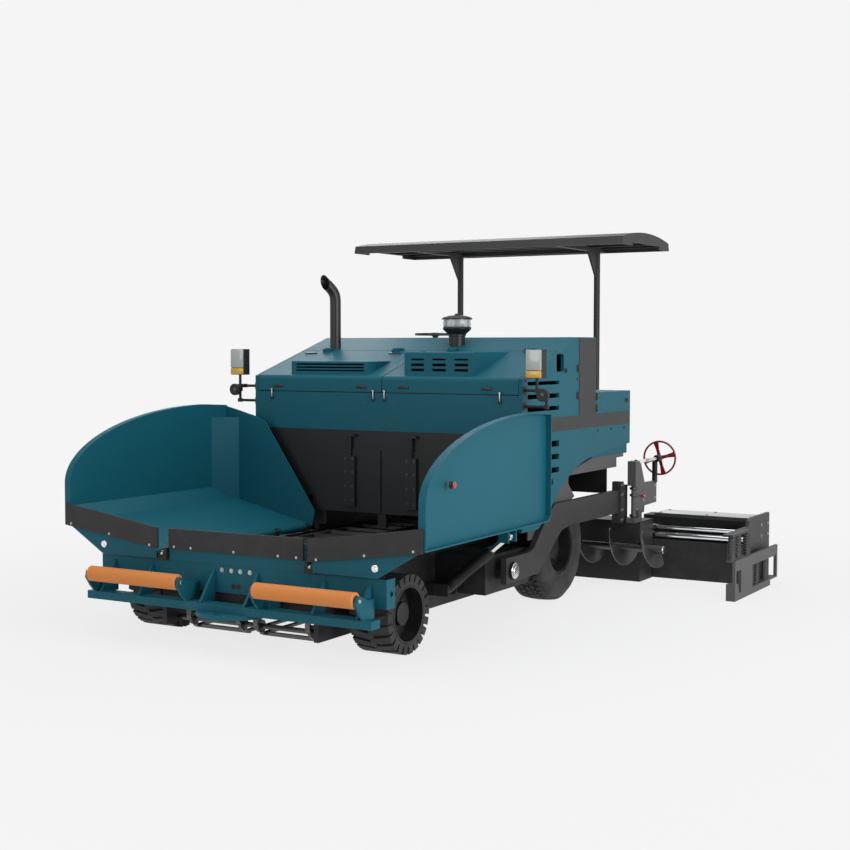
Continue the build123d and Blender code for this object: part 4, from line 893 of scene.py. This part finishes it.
def side_doors():
    """Hinges and locks of the service doors in both body sides, and the sides' bolts."""
    for side, k in SIDES:
        x = k * BODY_SIDE_X
        hinges, locks = [], []
        for y, z in ((1066, 1760), (1066, 1990), (1466, 1640), (1466, 1740)):
            place = at(0, y, z) + Vector((x, 0, 0))
            hinges.append(turned([(0, 0.032), (0.008, 0.032), (0.009, 0.030), (0.009, -0.030),
                                  (0.008, -0.032), (0, -0.032)], place + Vector((k * 0.004, 0, 0)), UPWARD,
                                 steps=16))
            leaf = tuple(sorted((-k * 0.001, k * 0.004)))
            hinges.append(block_at(place, leaf, (-0.030, 0.002), 0.028, bevel=0.0015))
        for y, z in ((810, 1975), (2150, 1690)):
            place = at(0, y, z) + Vector((x, 0, 0))
            locks.append(turned([(0, 0.009), (0.012, 0.009), (0.020, 0.006), (0.021, -0.001), (0, -0.001)],
                                place, (k, 0, 0), steps=28))
            handle = tuple(sorted((k * 0.007, k * 0.016)))
            locks.append(block_at(place, handle, 0.005, 0.018, bevel=0.003))
        add_piece(f"door_hinges_{side}", hinges, "chassis", "black_plastic")
        add_piece(f"door_locks_{side}", locks, "chassis", "black_bolt")
        places = [(x, at(0, y, 0).y, z) for y in (60, 1050) for z in (1.90, 1.50)]
        places += [(x, at(0, y, 0).y, 1.44) for y in (120, 420, 1500, 1800, 2100)]
        bolts(f"body_side_bolts_{side}", places, (k, 0, 0), "chassis", finish="black_bolt", head=0.007,
              washer=0.011)


def exhaust_stack():
    """The exhaust pipe: a smooth thin-walled bend, its mouth cut upright to face forward."""
    mouth = at(-1043, 706, 2752)
    path = [at(-985, 790, 2120), at(-985, 790, 2500), at(-985, 790, 2600), at(-990, 783, 2650),
            at(-1010, 754, 2700), mouth, at(-1106, 614, 2852)]
    bend = tube("exhaust", path, 0.050, wall=0.004, sides=8)
    whole = bend.verts[:] + bend.edges[:] + bend.faces[:]
    cut = bmesh.ops.bisect_plane(bend, geom=whole, plane_co=mouth, plane_no=(-0.15, -0.99, 0),
                                 clear_outer=True)
    rims = [item for item in cut["geom_cut"] if isinstance(item, bmesh.types.BMEdge)]
    bmesh.ops.bridge_loops(bend, edges=rims)
    bmesh.ops.recalc_face_normals(bend, faces=bend.faces)
    pipe = new_piece("exhaust_bend", mesh_of("exhaust_bend", bend), "chassis", "exhaust")
    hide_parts("exhaust_pipe")


def pre_cleaner():
    """The air intake: stem, flared base with fins, clear bowl and domed cap with its knob."""
    foot = at(215, 905, 2166)
    stem = [(0, 0), (0.068, 0), (0.072, 0.096), (0.078, 0.100), (0.078, 0.112), (0.086, 0.124),
            (0.104, 0.138), (0.124, 0.160), (0.126, 0.172), (0.122, 0.180), (0.060, 0.180), (0, 0.180)]
    cap = [(0, 0.244), (0.128, 0.244), (0.136, 0.248), (0.136, 0.254), (0.118, 0.266), (0.070, 0.278),
           (0.022, 0.282), (0.020, 0.292), (0.012, 0.297), (0, 0.297)]
    core = [(0, 0.178), (0.022, 0.178), (0.022, 0.246), (0, 0.246)]
    body = [turned(profile, foot, UPWARD, steps=64) for profile in (stem, cap, core)]
    add_piece("intake_body", body, "chassis", "black_plastic", crease=25, stands_for="air_cleaner")
    bowl = turned([(0.118, 0.181), (0.124, 0.190), (0.125, 0.212), (0.122, 0.243), (0.119, 0.243),
                   (0.122, 0.212), (0.121, 0.190), (0.115, 0.181)], foot, UPWARD, steps=64, closed=True)
    add_piece("intake_bowl", [bowl], "chassis", "bowl", stands_for="air_cleaner")
    vanes = []
    for i in range(8):
        rib = soft_block((0.098, 0.117), (-0.0015, 0.0015), (0.179, 0.245), bevel=0.0006, segments=1)
        turn = Matrix.Rotation(FULL_TURN * i / 8, 3, "Z")
        bmesh.ops.rotate(rib, cent=(0, 0, 0), matrix=turn, verts=rib.verts)
        bmesh.ops.translate(rib, vec=foot, verts=rib.verts)
        vanes.append(rib)
    add_piece("intake_vanes", vanes, "chassis", "lens", stands_for="air_cleaner")


def lamp_and_horn(side, k):
    """A lamp's clear upper lens over its yellow flasher, and the horn's ringed face."""
    start, end = sorted((k * 1.368, k * 1.505))
    x = (start + 0.003, end - 0.003)
    y = at(0, -85, 0).y
    upper = soft_block(x, (y - 0.010, y + 0.012), (1.986, 2.148), bevel=0.008)
    add_piece(f"lamp_lens_{side}", [upper], "chassis", "lens")
    lower = soft_block(x, (y - 0.011, y + 0.012), (1.927, 1.985), bevel=0.008)
    add_piece(f"lamp_flasher_{side}", [lower], "chassis", "yellow")
    face = at(k * 1494, -45, 1795)
    disc = [(0, 0.004), (0.010, 0.005), (0.012, 0.001), (0.024, 0.001), (0.026, 0.006), (0.034, 0.006),
            (0.036, 0.001), (0.044, 0.001), (0.046, 0.007), (0.051, 0.006), (0.052, -0.004), (0, -0.004)]
    core = [(0, 0.0075), (0.014, 0.0075), (0.020, 0.005), (0.020, 0.001), (0, 0.001)]
    add_piece(f"horn_face_{side}", [turned(disc, face, FORWARD)], "chassis", "black_plastic", crease=25)
    add_piece(f"horn_core_{side}", [turned(core, face, FORWARD)], "chassis", "black_bolt")


def canopy_details():
    """Ribs under the roof, and the posts' foot plates with their bolts."""
    roof_low = low("canopy_roof").z
    ribs = [block_at(Vector((0, at(0, y, 0).y, roof_low)), 1.36, 0.012, (0.030, 0.052))
            for y in (1900, 2200, 2500, 2800)]
    add_piece("roof_ribs", ribs, "chassis", "black_paint")
    feet, places = [], []
    for k in (1, -1):
        place = at(k * 750, 2730, 1700)
        feet.append(block_at(place, 0.060, 0.060, (0, 0.012)))
        places += [place + Vector((dx, dy, 0.012)) for dx in (-0.045, 0.045) for dy in (-0.045, 0.045)]
    add_piece("post_feet", feet, "chassis", "black_paint")
    bolts("post_foot_bolts", places, UPWARD, "chassis", head=0.009)


def make_body():
    draw_latches()
    lid_handles()
    hood_bolts()
    side_doors()
    exhaust_stack()
    pre_cleaner()
    for side, k in SIDES:
        lamp_and_horn(side, k)
    canopy_details()


# ---------------------------------------------------------------- operator's place
def steering_wheel():
    """The steering wheel's round rim, and its boss."""
    place = at(-400, 1600, 2290)
    rim = turned(round_section(0.168, 0.012), place, UPWARD, steps=64, closed=True)
    boss = turned([(0, 0.016), (0.030, 0.016), (0.036, 0.008), (0.034, -0.020), (0, -0.020)], place, UPWARD)
    add_piece("steering_rim", [rim, boss], "chassis", "black_plastic")


def console_gauges():
    """Gauges, switches and two levers on the console's top."""
    console_top = 2080
    bezel = [(0.022, 0.006), (0.028, 0.004), (0.028, -0.001), (0.022, -0.001)]
    dial = [(0, 0.003), (0.0225, 0.003), (0.0225, -0.001), (0, -0.001)]
    knob = [(0, 0.018), (0.009, 0.018), (0.011, 0.014), (0.009, 0.002), (0.012, 0.001), (0.012, -0.001),
            (0, -0.001)]
    gauges = [at(x, 1480, console_top) for x in (-545, -465, -385, -305)]
    bezels = [turned(bezel, place, UPWARD, steps=32, closed=True) for place in gauges]
    faces = [turned(dial, place, UPWARD, steps=32) for place in gauges]
    knobs = [turned(knob, at(x, 1515, console_top), UPWARD, steps=20) for x in (-560, -240, -200)]
    add_piece("gauge_bezels", bezels, "chassis", "bolt")
    add_piece("gauge_faces", faces, "chassis", "dial")
    add_piece("console_knobs", knobs, "chassis", "black_plastic")
    lean = Vector((0, 0.25, 1))
    shank = [(0, 0.11), (0.006, 0.11), (0.006, -0.004), (0, -0.004)]
    grip = [(0, 0.034), (0.008, 0.033), (0.014, 0.026), (0.013, 0.008), (0.008, 0), (0, 0)]
    feet = [at(x, 1560, console_top - 12) for x in (-270, -215)]
    levers = [turned(shank, foot, lean, steps=14) for foot in feet]
    grips = [turned(grip, foot + lean.normalized() * 0.095, lean, steps=24) for foot in feet]
    add_piece("console_levers", levers, "chassis", "bolt")
    add_piece("lever_grips", grips, "chassis", "black_plastic")


CLOTH_STEPS = 20


def blow_up(carrier, crown):
    """Fills a closed mesh with air as cloth, no further than the crown from where it was."""
    rest = [vertex.co.copy() for vertex in carrier.data.vertices]
    cloth = carrier.modifiers.new("skin", "CLOTH")
    cloth.settings.use_pressure = True
    cloth.settings.uniform_pressure_force = 4.0
    cloth.settings.effector_weights.gravity = 0.0
    cloth.settings.quality = 5
    cloth.point_cache.frame_start = 1
    cloth.point_cache.frame_end = CLOTH_STEPS
    for step in range(1, CLOTH_STEPS + 1):
        SCENE.frame_set(step)
    blown = plain_mesh(carrier)
    SCENE.frame_set(1)
    carrier.modifiers.clear()
    for vertex, start in zip(blown.vertices, rest):
        move = vertex.co - start
        if move.length > crown:
            vertex.co = start + move.normalized() * crown
    carrier.data = blown


def cushion(name, x, y, z, crown):
    """A filled cushion: a block remeshed and blown up as cloth, the same way on every run."""
    block = soft_block(x, y, z, bevel=0.028, segments=4)
    carrier = add_object(name, mesh_of(name, block))
    grain = carrier.modifiers.new("even mesh", "REMESH")
    grain.mode = "VOXEL"
    grain.voxel_size = 0.006
    even = plain_mesh(carrier)
    carrier.modifiers.clear()
    carrier.data = even
    blow_up(carrier, crown)
    round_off = carrier.modifiers.new("round", "SUBSURF")
    round_off.levels = round_off.render_levels = 1
    mesh = plain_mesh(carrier)
    bpy.data.objects.remove(carrier)
    piece = new_piece(name, mesh, "chassis", "seat_vinyl", crease=180)
    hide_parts("operator_seats")


def seats():
    """Two seats: filled cushions and backs, on steel pans over their pedestals."""
    y0, y1 = at(0, 2150, 0).y, at(0, 2640, 0).y
    for side, k in SIDES:
        x = k * 0.400
        cushion(f"seat_cushion_{side}", (x - 0.215, x + 0.215), (y0 + 0.015, y1 - 0.085), (1.685, 1.760),
                0.022)
        cushion(f"seat_back_{side}", (x - 0.210, x + 0.210), (y1 - 0.078, y1 - 0.012), (1.775, 2.135), 0.020)
        pans = [soft_block((x - wide, x + wide), y, z, bevel=bevel) for wide, y, z, bevel in (
            (0.225, (y0 + 0.005, y1 - 0.025), (1.672, 1.688), 0.005),
            (0.170, (y1 - 0.016, y1 - 0.004), (1.690, 2.080), 0.004),
            (0.060, (y0 + 0.170, y0 + 0.290), (1.256, 1.676), 0.010),
            (0.110, (y0 + 0.120, y0 + 0.340), (1.251, 1.262), 0.002))]
        add_piece(f"seat_frame_{side}", pans, "chassis", "black_paint", stands_for="operator_seats")


def make_operator():
    steering_wheel()
    console_gauges()
    seats()


# ---------------------------------------------------------------- screed
def handwheel(side, k):
    """A screed handwheel: round rim, four tapered spokes, boss, and the bright shaft in its bearing."""
    centre = at(k * 1350, 2880, 1112)
    parts = [turned(round_section(0.1575, 0.0095, 14), centre, REARWARD, steps=72, closed=True)]
    spoke = [(0.012, -0.017), (0.080, -0.015), (0.156, -0.026), (0.156, 0.026), (0.080, 0.015),
             (0.012, 0.017)]
    for i in range(4):
        turn = math.radians(15 + 90 * i)
        across = (k * math.cos(turn), 0, math.sin(turn))
        up = (-k * math.sin(turn), 0, math.cos(turn))
        parts.append(plate_of(spoke, 0.010, centre + Vector((0, k * 0.005, 0)), across, up, bevel=0.002))
    add_piece(f"handwheel_rim_{side}", parts, "screed", "red_paint", stands_for="handwheels")
    boss = turned([(0, 0.024), (0.010, 0.024), (0.012, 0.020), (0.024, 0.018), (0.030, 0.010),
                   (0.030, -0.018), (0.024, -0.025), (0, -0.025)], centre, REARWARD, steps=40)
    add_piece(f"handwheel_boss_{side}", [boss], "screed", "black_bolt", stands_for="handwheels")
    start = at(k * 1350, 2271, 1112)
    length = centre.y - start.y
    shaft = turned([(0, length), (0.016, length), (0.016, 0.010), (0.024, 0.008), (0.024, 0), (0, 0)], start,
                   REARWARD, steps=32)
    add_piece(f"handwheel_shaft_{side}", [shaft], "screed", "chrome", stands_for="handwheels")
    plate = at(k * 1327.5, 2815, 0)
    post = block_at(plate, 0.0175, (-0.032, 0.026), (0.880, 1.085), bevel=0.003)
    bearing = turned([(0.017, 0.022), (0.030, 0.022), (0.034, 0.018), (0.034, -0.018), (0.030, -0.022),
                      (0.017, -0.022)], Vector((centre.x, plate.y, centre.z)), REARWARD, steps=36,
                     closed=True)
    add_piece(f"handwheel_bearing_{side}", [post, bearing], "screed", "black_paint")


def jack_details(side, k):
    """Collars on the jack screw, its locking knob, and the bolts of the tow arm's flange and post."""
    collar = [(0.021, 0), (0.034, 0), (0.036, 0.003), (0.036, 0.019), (0.034, 0.022), (0.021, 0.022)]
    collars = [turned(collar, at(k * 1350, 2220, z), UPWARD, steps=36, closed=True) for z in (612, 800, 862)]
    add_piece(f"jack_collars_{side}", collars, "screed", "black_bolt")
    knob = turned([(0, 0.040), (0.014, 0.040), (0.020, 0.034), (0.020, 0.026), (0.008, 0.020),
                   (0.008, -0.001), (0, -0.001)], at(k * 1335, 2440, 785), (k, 0, 0), steps=28)
    add_piece(f"screed_stop_{side}", [knob], "screed", "red_button")
    places = [at(k * 1282, 2115 + dy, z) for z in (590, 680, 820, 910) for dy in (-18, 18)]
    bolts(f"arm_flange_bolts_{side}", places, (k, 0, 0), "screed", head=0.009)
    places = [at(k * 1335, y, z) for y, z in ((2350, 660), (2350, 1050), (2500, 740), (2790, 740),
                                              (2790, 860))]
    bolts(f"post_plate_bolts_{side}", places, (k, 0, 0), "screed", head=0.009)


def pivot_cap(side, k):
    """The bright cap over the tow arm's front pivot, with its three bolts."""
    centre = at(k * 1286, -79, 411)
    cap = turned([(0, 0.007), (0.030, 0.007), (0.034, 0.003), (0.060, 0.003), (0.064, -0.001), (0, -0.001)],
                 centre, (k, 0, 0), steps=56)
    add_piece(f"arm_pivot_cap_{side}", [cap], "chassis", "chrome")
    places = []
    for i in range(3):
        turn = math.radians(90 + 120 * i)
        places.append(centre + Vector((k * 0.003, 0.047 * math.cos(turn), 0.047 * math.sin(turn))))
    bolts(f"arm_pivot_bolts_{side}", places, (k, 0, 0), "chassis", head=0.006, height=0.004, washer=0.008)


def gate_springs(side, k):
    """Coil springs of the end gate: an upper row round their rods, and a lower row inside the gate."""
    body = f"screed_extension_{side}"
    rod = [(0, 0.212), (0.010, 0.212), (0.012, 0.208), (0.012, 0), (0, 0)]
    upper = [at(k * 2440.5, y, 352) for y in (1740, 1890, 2150)]
    lower = [at(k * 2440.5, y, 66) for y in (2290, 2440, 2700)]
    coils = [helix(foot, 0.034, 0.0050, 0.190) for foot in upper]
    coils += [helix(foot, 0.028, 0.0045, 0.180) for foot in lower]
    rods = [turned(rod, foot, UPWARD, steps=16) for foot in upper]
    add_piece(f"gate_coils_{side}", coils, body, "black_bolt")
    add_piece(f"gate_rods_{side}", rods, body, "bolt")


def extension_cover(side, k):
    """The pale cover plate on the screed extension, with its bolts and those of the end wall."""
    body = f"screed_extension_{side}"
    y0, y1 = at(0, 2625, 0).y, at(0, 2950, 0).y
    x0, x1 = sorted((k * 1.400, k * 2.403))
    top = 0.6145
    sheet = soft_block((x0 + 0.004, x1 - 0.004), (y0 + 0.004, y1 - 0.004), (0.611, top), bevel=0.0015)
    add_piece(f"cover_sheet_{side}", [sheet], body, "cover_steel")
    places = [(x, y, top) for x in (x0 + 0.05, (x0 + x1) / 2, x1 - 0.05) for y in (y0 + 0.04, y1 - 0.04)]
    bolts(f"cover_bolts_{side}", places, UPWARD, body, finish="black_bolt", head=0.009, height=0.005)
    places = [at(k * 2405, y, z) for y in (2700, 2900) for z in (450, 550)]
    bolts(f"end_wall_bolts_{side}", places, (k, 0, 0), body, head=0.010)


def auger_screw(side, k):
    """The auger: a round shaft with one even, continuous screw flight."""
    node = f"auger_{side}"
    centre = middle(node)
    inner_end, outer_end = abs(outer_x(node, -k)), abs(outer_x(node, k))
    start, end = inner_end + 0.030, outer_end - 0.030
    pitch, steps, thick = 0.310, 48, 0.006
    section = ((-thick, 0.030), (thick, 0.030), (thick, 0.162), (0.6 * thick, 0.165), (-0.6 * thick, 0.165),
               (-thick, 0.162))
    count = round((end - start) / pitch * steps / 4) * 4
    bm = bmesh.new()
    rings = []
    for i in range(count + 1):
        turn = FULL_TURN * i / steps
        away = Vector((0, math.cos(turn), math.sin(turn)))
        x = start + (end - start) * i / count
        rings.append([bm.verts.new(Vector((k * (x + dx), centre.y, centre.z)) + away * radius)
                      for dx, radius in section])
    flight = skinned(bm, rings)
    shaft = turned([(0, outer_end), (0.033, outer_end), (0.035, outer_end - 0.002), (0.035, inner_end),
                    (0, inner_end)], Vector((0, centre.y, centre.z)), (k, 0, 0), steps=40)
    add_piece(f"{node}_screw", [flight, shaft], f"auger_screw_{side}", "steel", stands_for=node)


def auger_fittings():
    """Screws, end caps, gearbox bolts, and the outer ends of the wall above the augers."""
    y = at(0, 2161, 0).y
    for side, k in SIDES:
        auger_screw(side, k)
        wall = soft_block(sorted((k * 0.690, k * 1.105)), (y + 0.0005, y + 0.014), (0.820, 1.200),
                          bevel=0.002)
        add_piece(f"auger_wall_{side}", [wall], "chassis", "black_paint")
        cap = turned([(0, 0.008), (0.016, 0.008), (0.030, 0.004), (0.034, -0.001), (0, -0.001)],
                     at(k * 1700, 2075, 345), (k, 0, 0), steps=40)
        add_piece(f"auger_cap_{side}", [cap], f"auger_screw_{side}", "bolt")
    places = [at(x, 1985, z) for x in (-110, 110) for z in (265, 345, 425)]
    bolts("gearbox_bolts", places, FORWARD, "chassis", head=0.011)


def make_screed():
    for side, k in SIDES:
        handwheel(side, k)
        jack_details(side, k)
        pivot_cap(side, k)
        gate_springs(side, k)
        extension_cover(side, k)
    auger_fittings()


# ---------------------------------------------------------------- camera, floor and light
CAMERA_FROM_HOOD = (6.291, -10.136, 2.150)      # x from the centreline, y from the hood's face, z
CAMERA_TURN = (86.98, -0.07, 30.1)              # degrees
LENS = 60.8
PALE = (0.913, 0.913, 0.913, 1)


def make_camera():
    data = bpy.data.cameras.new("camera")
    data.lens = LENS
    data.sensor_width = 36
    camera = add_object("camera", data)
    x, y, z = CAMERA_FROM_HOOD
    camera.location = (x, HOOD_FACE_Y + y, z)
    camera.rotation_euler = [math.radians(a) for a in CAMERA_TURN]
    SCENE.camera = camera


def make_lamp(name, place, target, size, power):
    data = bpy.data.lights.new(name, "AREA")
    data.shape = "RECTANGLE"
    data.size, data.size_y = size
    data.energy = power
    lamp = add_object(name, data)
    lamp.location = place
    lamp.rotation_euler = (Vector(target) - Vector(place)).to_track_quat("-Z", "Y").to_euler()


def seen_directly(tree):
    """1 for what the camera sees, also in a reflection or through glass; 0 for the light that falls."""
    path = add_node(tree, "ShaderNodeLightPath", (-600, 600)).outputs
    first = calc(tree, "MAXIMUM", (-400, 600), path["Is Camera Ray"], path["Is Glossy Ray"])
    return calc(tree, "MAXIMUM", (-200, 600), first, path["Is Transmission Ray"])


def shown_by(tree, amount, lit, pale, output):
    """Closes a tree: the lit shader, and the pale one as far as the amount says."""
    chosen = add_node(tree, "ShaderNodeMixShader", (400, 0), {
        0: amount, 1: lit.outputs[0], 2: pale.outputs[0]})
    add_node(tree, output, (700, 0), {"Surface": chosen.outputs[0]})


def make_world():
    world = bpy.data.worlds.new("studio")
    world.use_nodes = True
    tree = world.node_tree
    tree.nodes.clear()
    soft = add_node(tree, "ShaderNodeBackground", (0, -100), {
        "Color": (0.82, 0.87, 0.90, 1), "Strength": 0.30})
    pale = add_node(tree, "ShaderNodeBackground", (0, 100), {"Color": PALE, "Strength": 1.0})
    shown_by(tree, seen_directly(tree), soft, pale, "ShaderNodeOutputWorld")
    SCENE.world = world


def make_floor():
    """A pale floor that keeps a soft shadow near the machine and fades into the backdrop further out."""
    half = 60.0
    mesh = bpy.data.meshes.new("floor")
    corners = [(-half, -half, 0), (half, -half, 0), (half, half, 0), (-half, half, 0)]
    mesh.from_pydata(corners, [], [(0, 1, 2, 3)])
    floor = add_object("floor", mesh)
    material, tree = empty_material("pale floor")
    lit = add_node(tree, "ShaderNodeBsdfDiffuse", (0, 100), {"Color": (0.80, 0.80, 0.80, 1)})
    glow = add_node(tree, "ShaderNodeEmission", (0, -100), {"Color": PALE, "Strength": 1.0})
    reach = add_node(tree, "ShaderNodeVectorMath", (-600, 300), {0: object_place(tree, (-800, 300))},
                     operation="LENGTH")
    fade = remap(tree, (-400, 300), reach.outputs["Value"], 2.0, 7.0, to=(0.86, 1.0),
                 interpolation_type="SMOOTHSTEP")
    amount = calc(tree, "MULTIPLY", (100, 400), seen_directly(tree), fade)
    shown_by(tree, amount, lit, glow, "ShaderNodeOutputMaterial")
    mesh.materials.append(material)


def make_studio():
    SCENE.view_settings.view_transform = "Standard"
    make_world()
    make_floor()
    make_lamp("overhead", (1.0, -1.0, 9.0), (0, 0, 1), (9, 9), 420)
    make_lamp("left side", (10.0, -3.0, 3.0), (0, 0, 1.2), (6, 4.5), 540)
    make_lamp("front", (-3.0, -11.0, 4.0), (0, 0, 1), (6, 5), 180)
    make_lamp("rear", (-6.0, 9.0, 6.0), (0, 0, 1.5), (6, 5), 300)


finish_cad_nodes()
make_wheels()
make_front()
make_body()
make_operator()
make_screed()
make_camera()
make_studio()
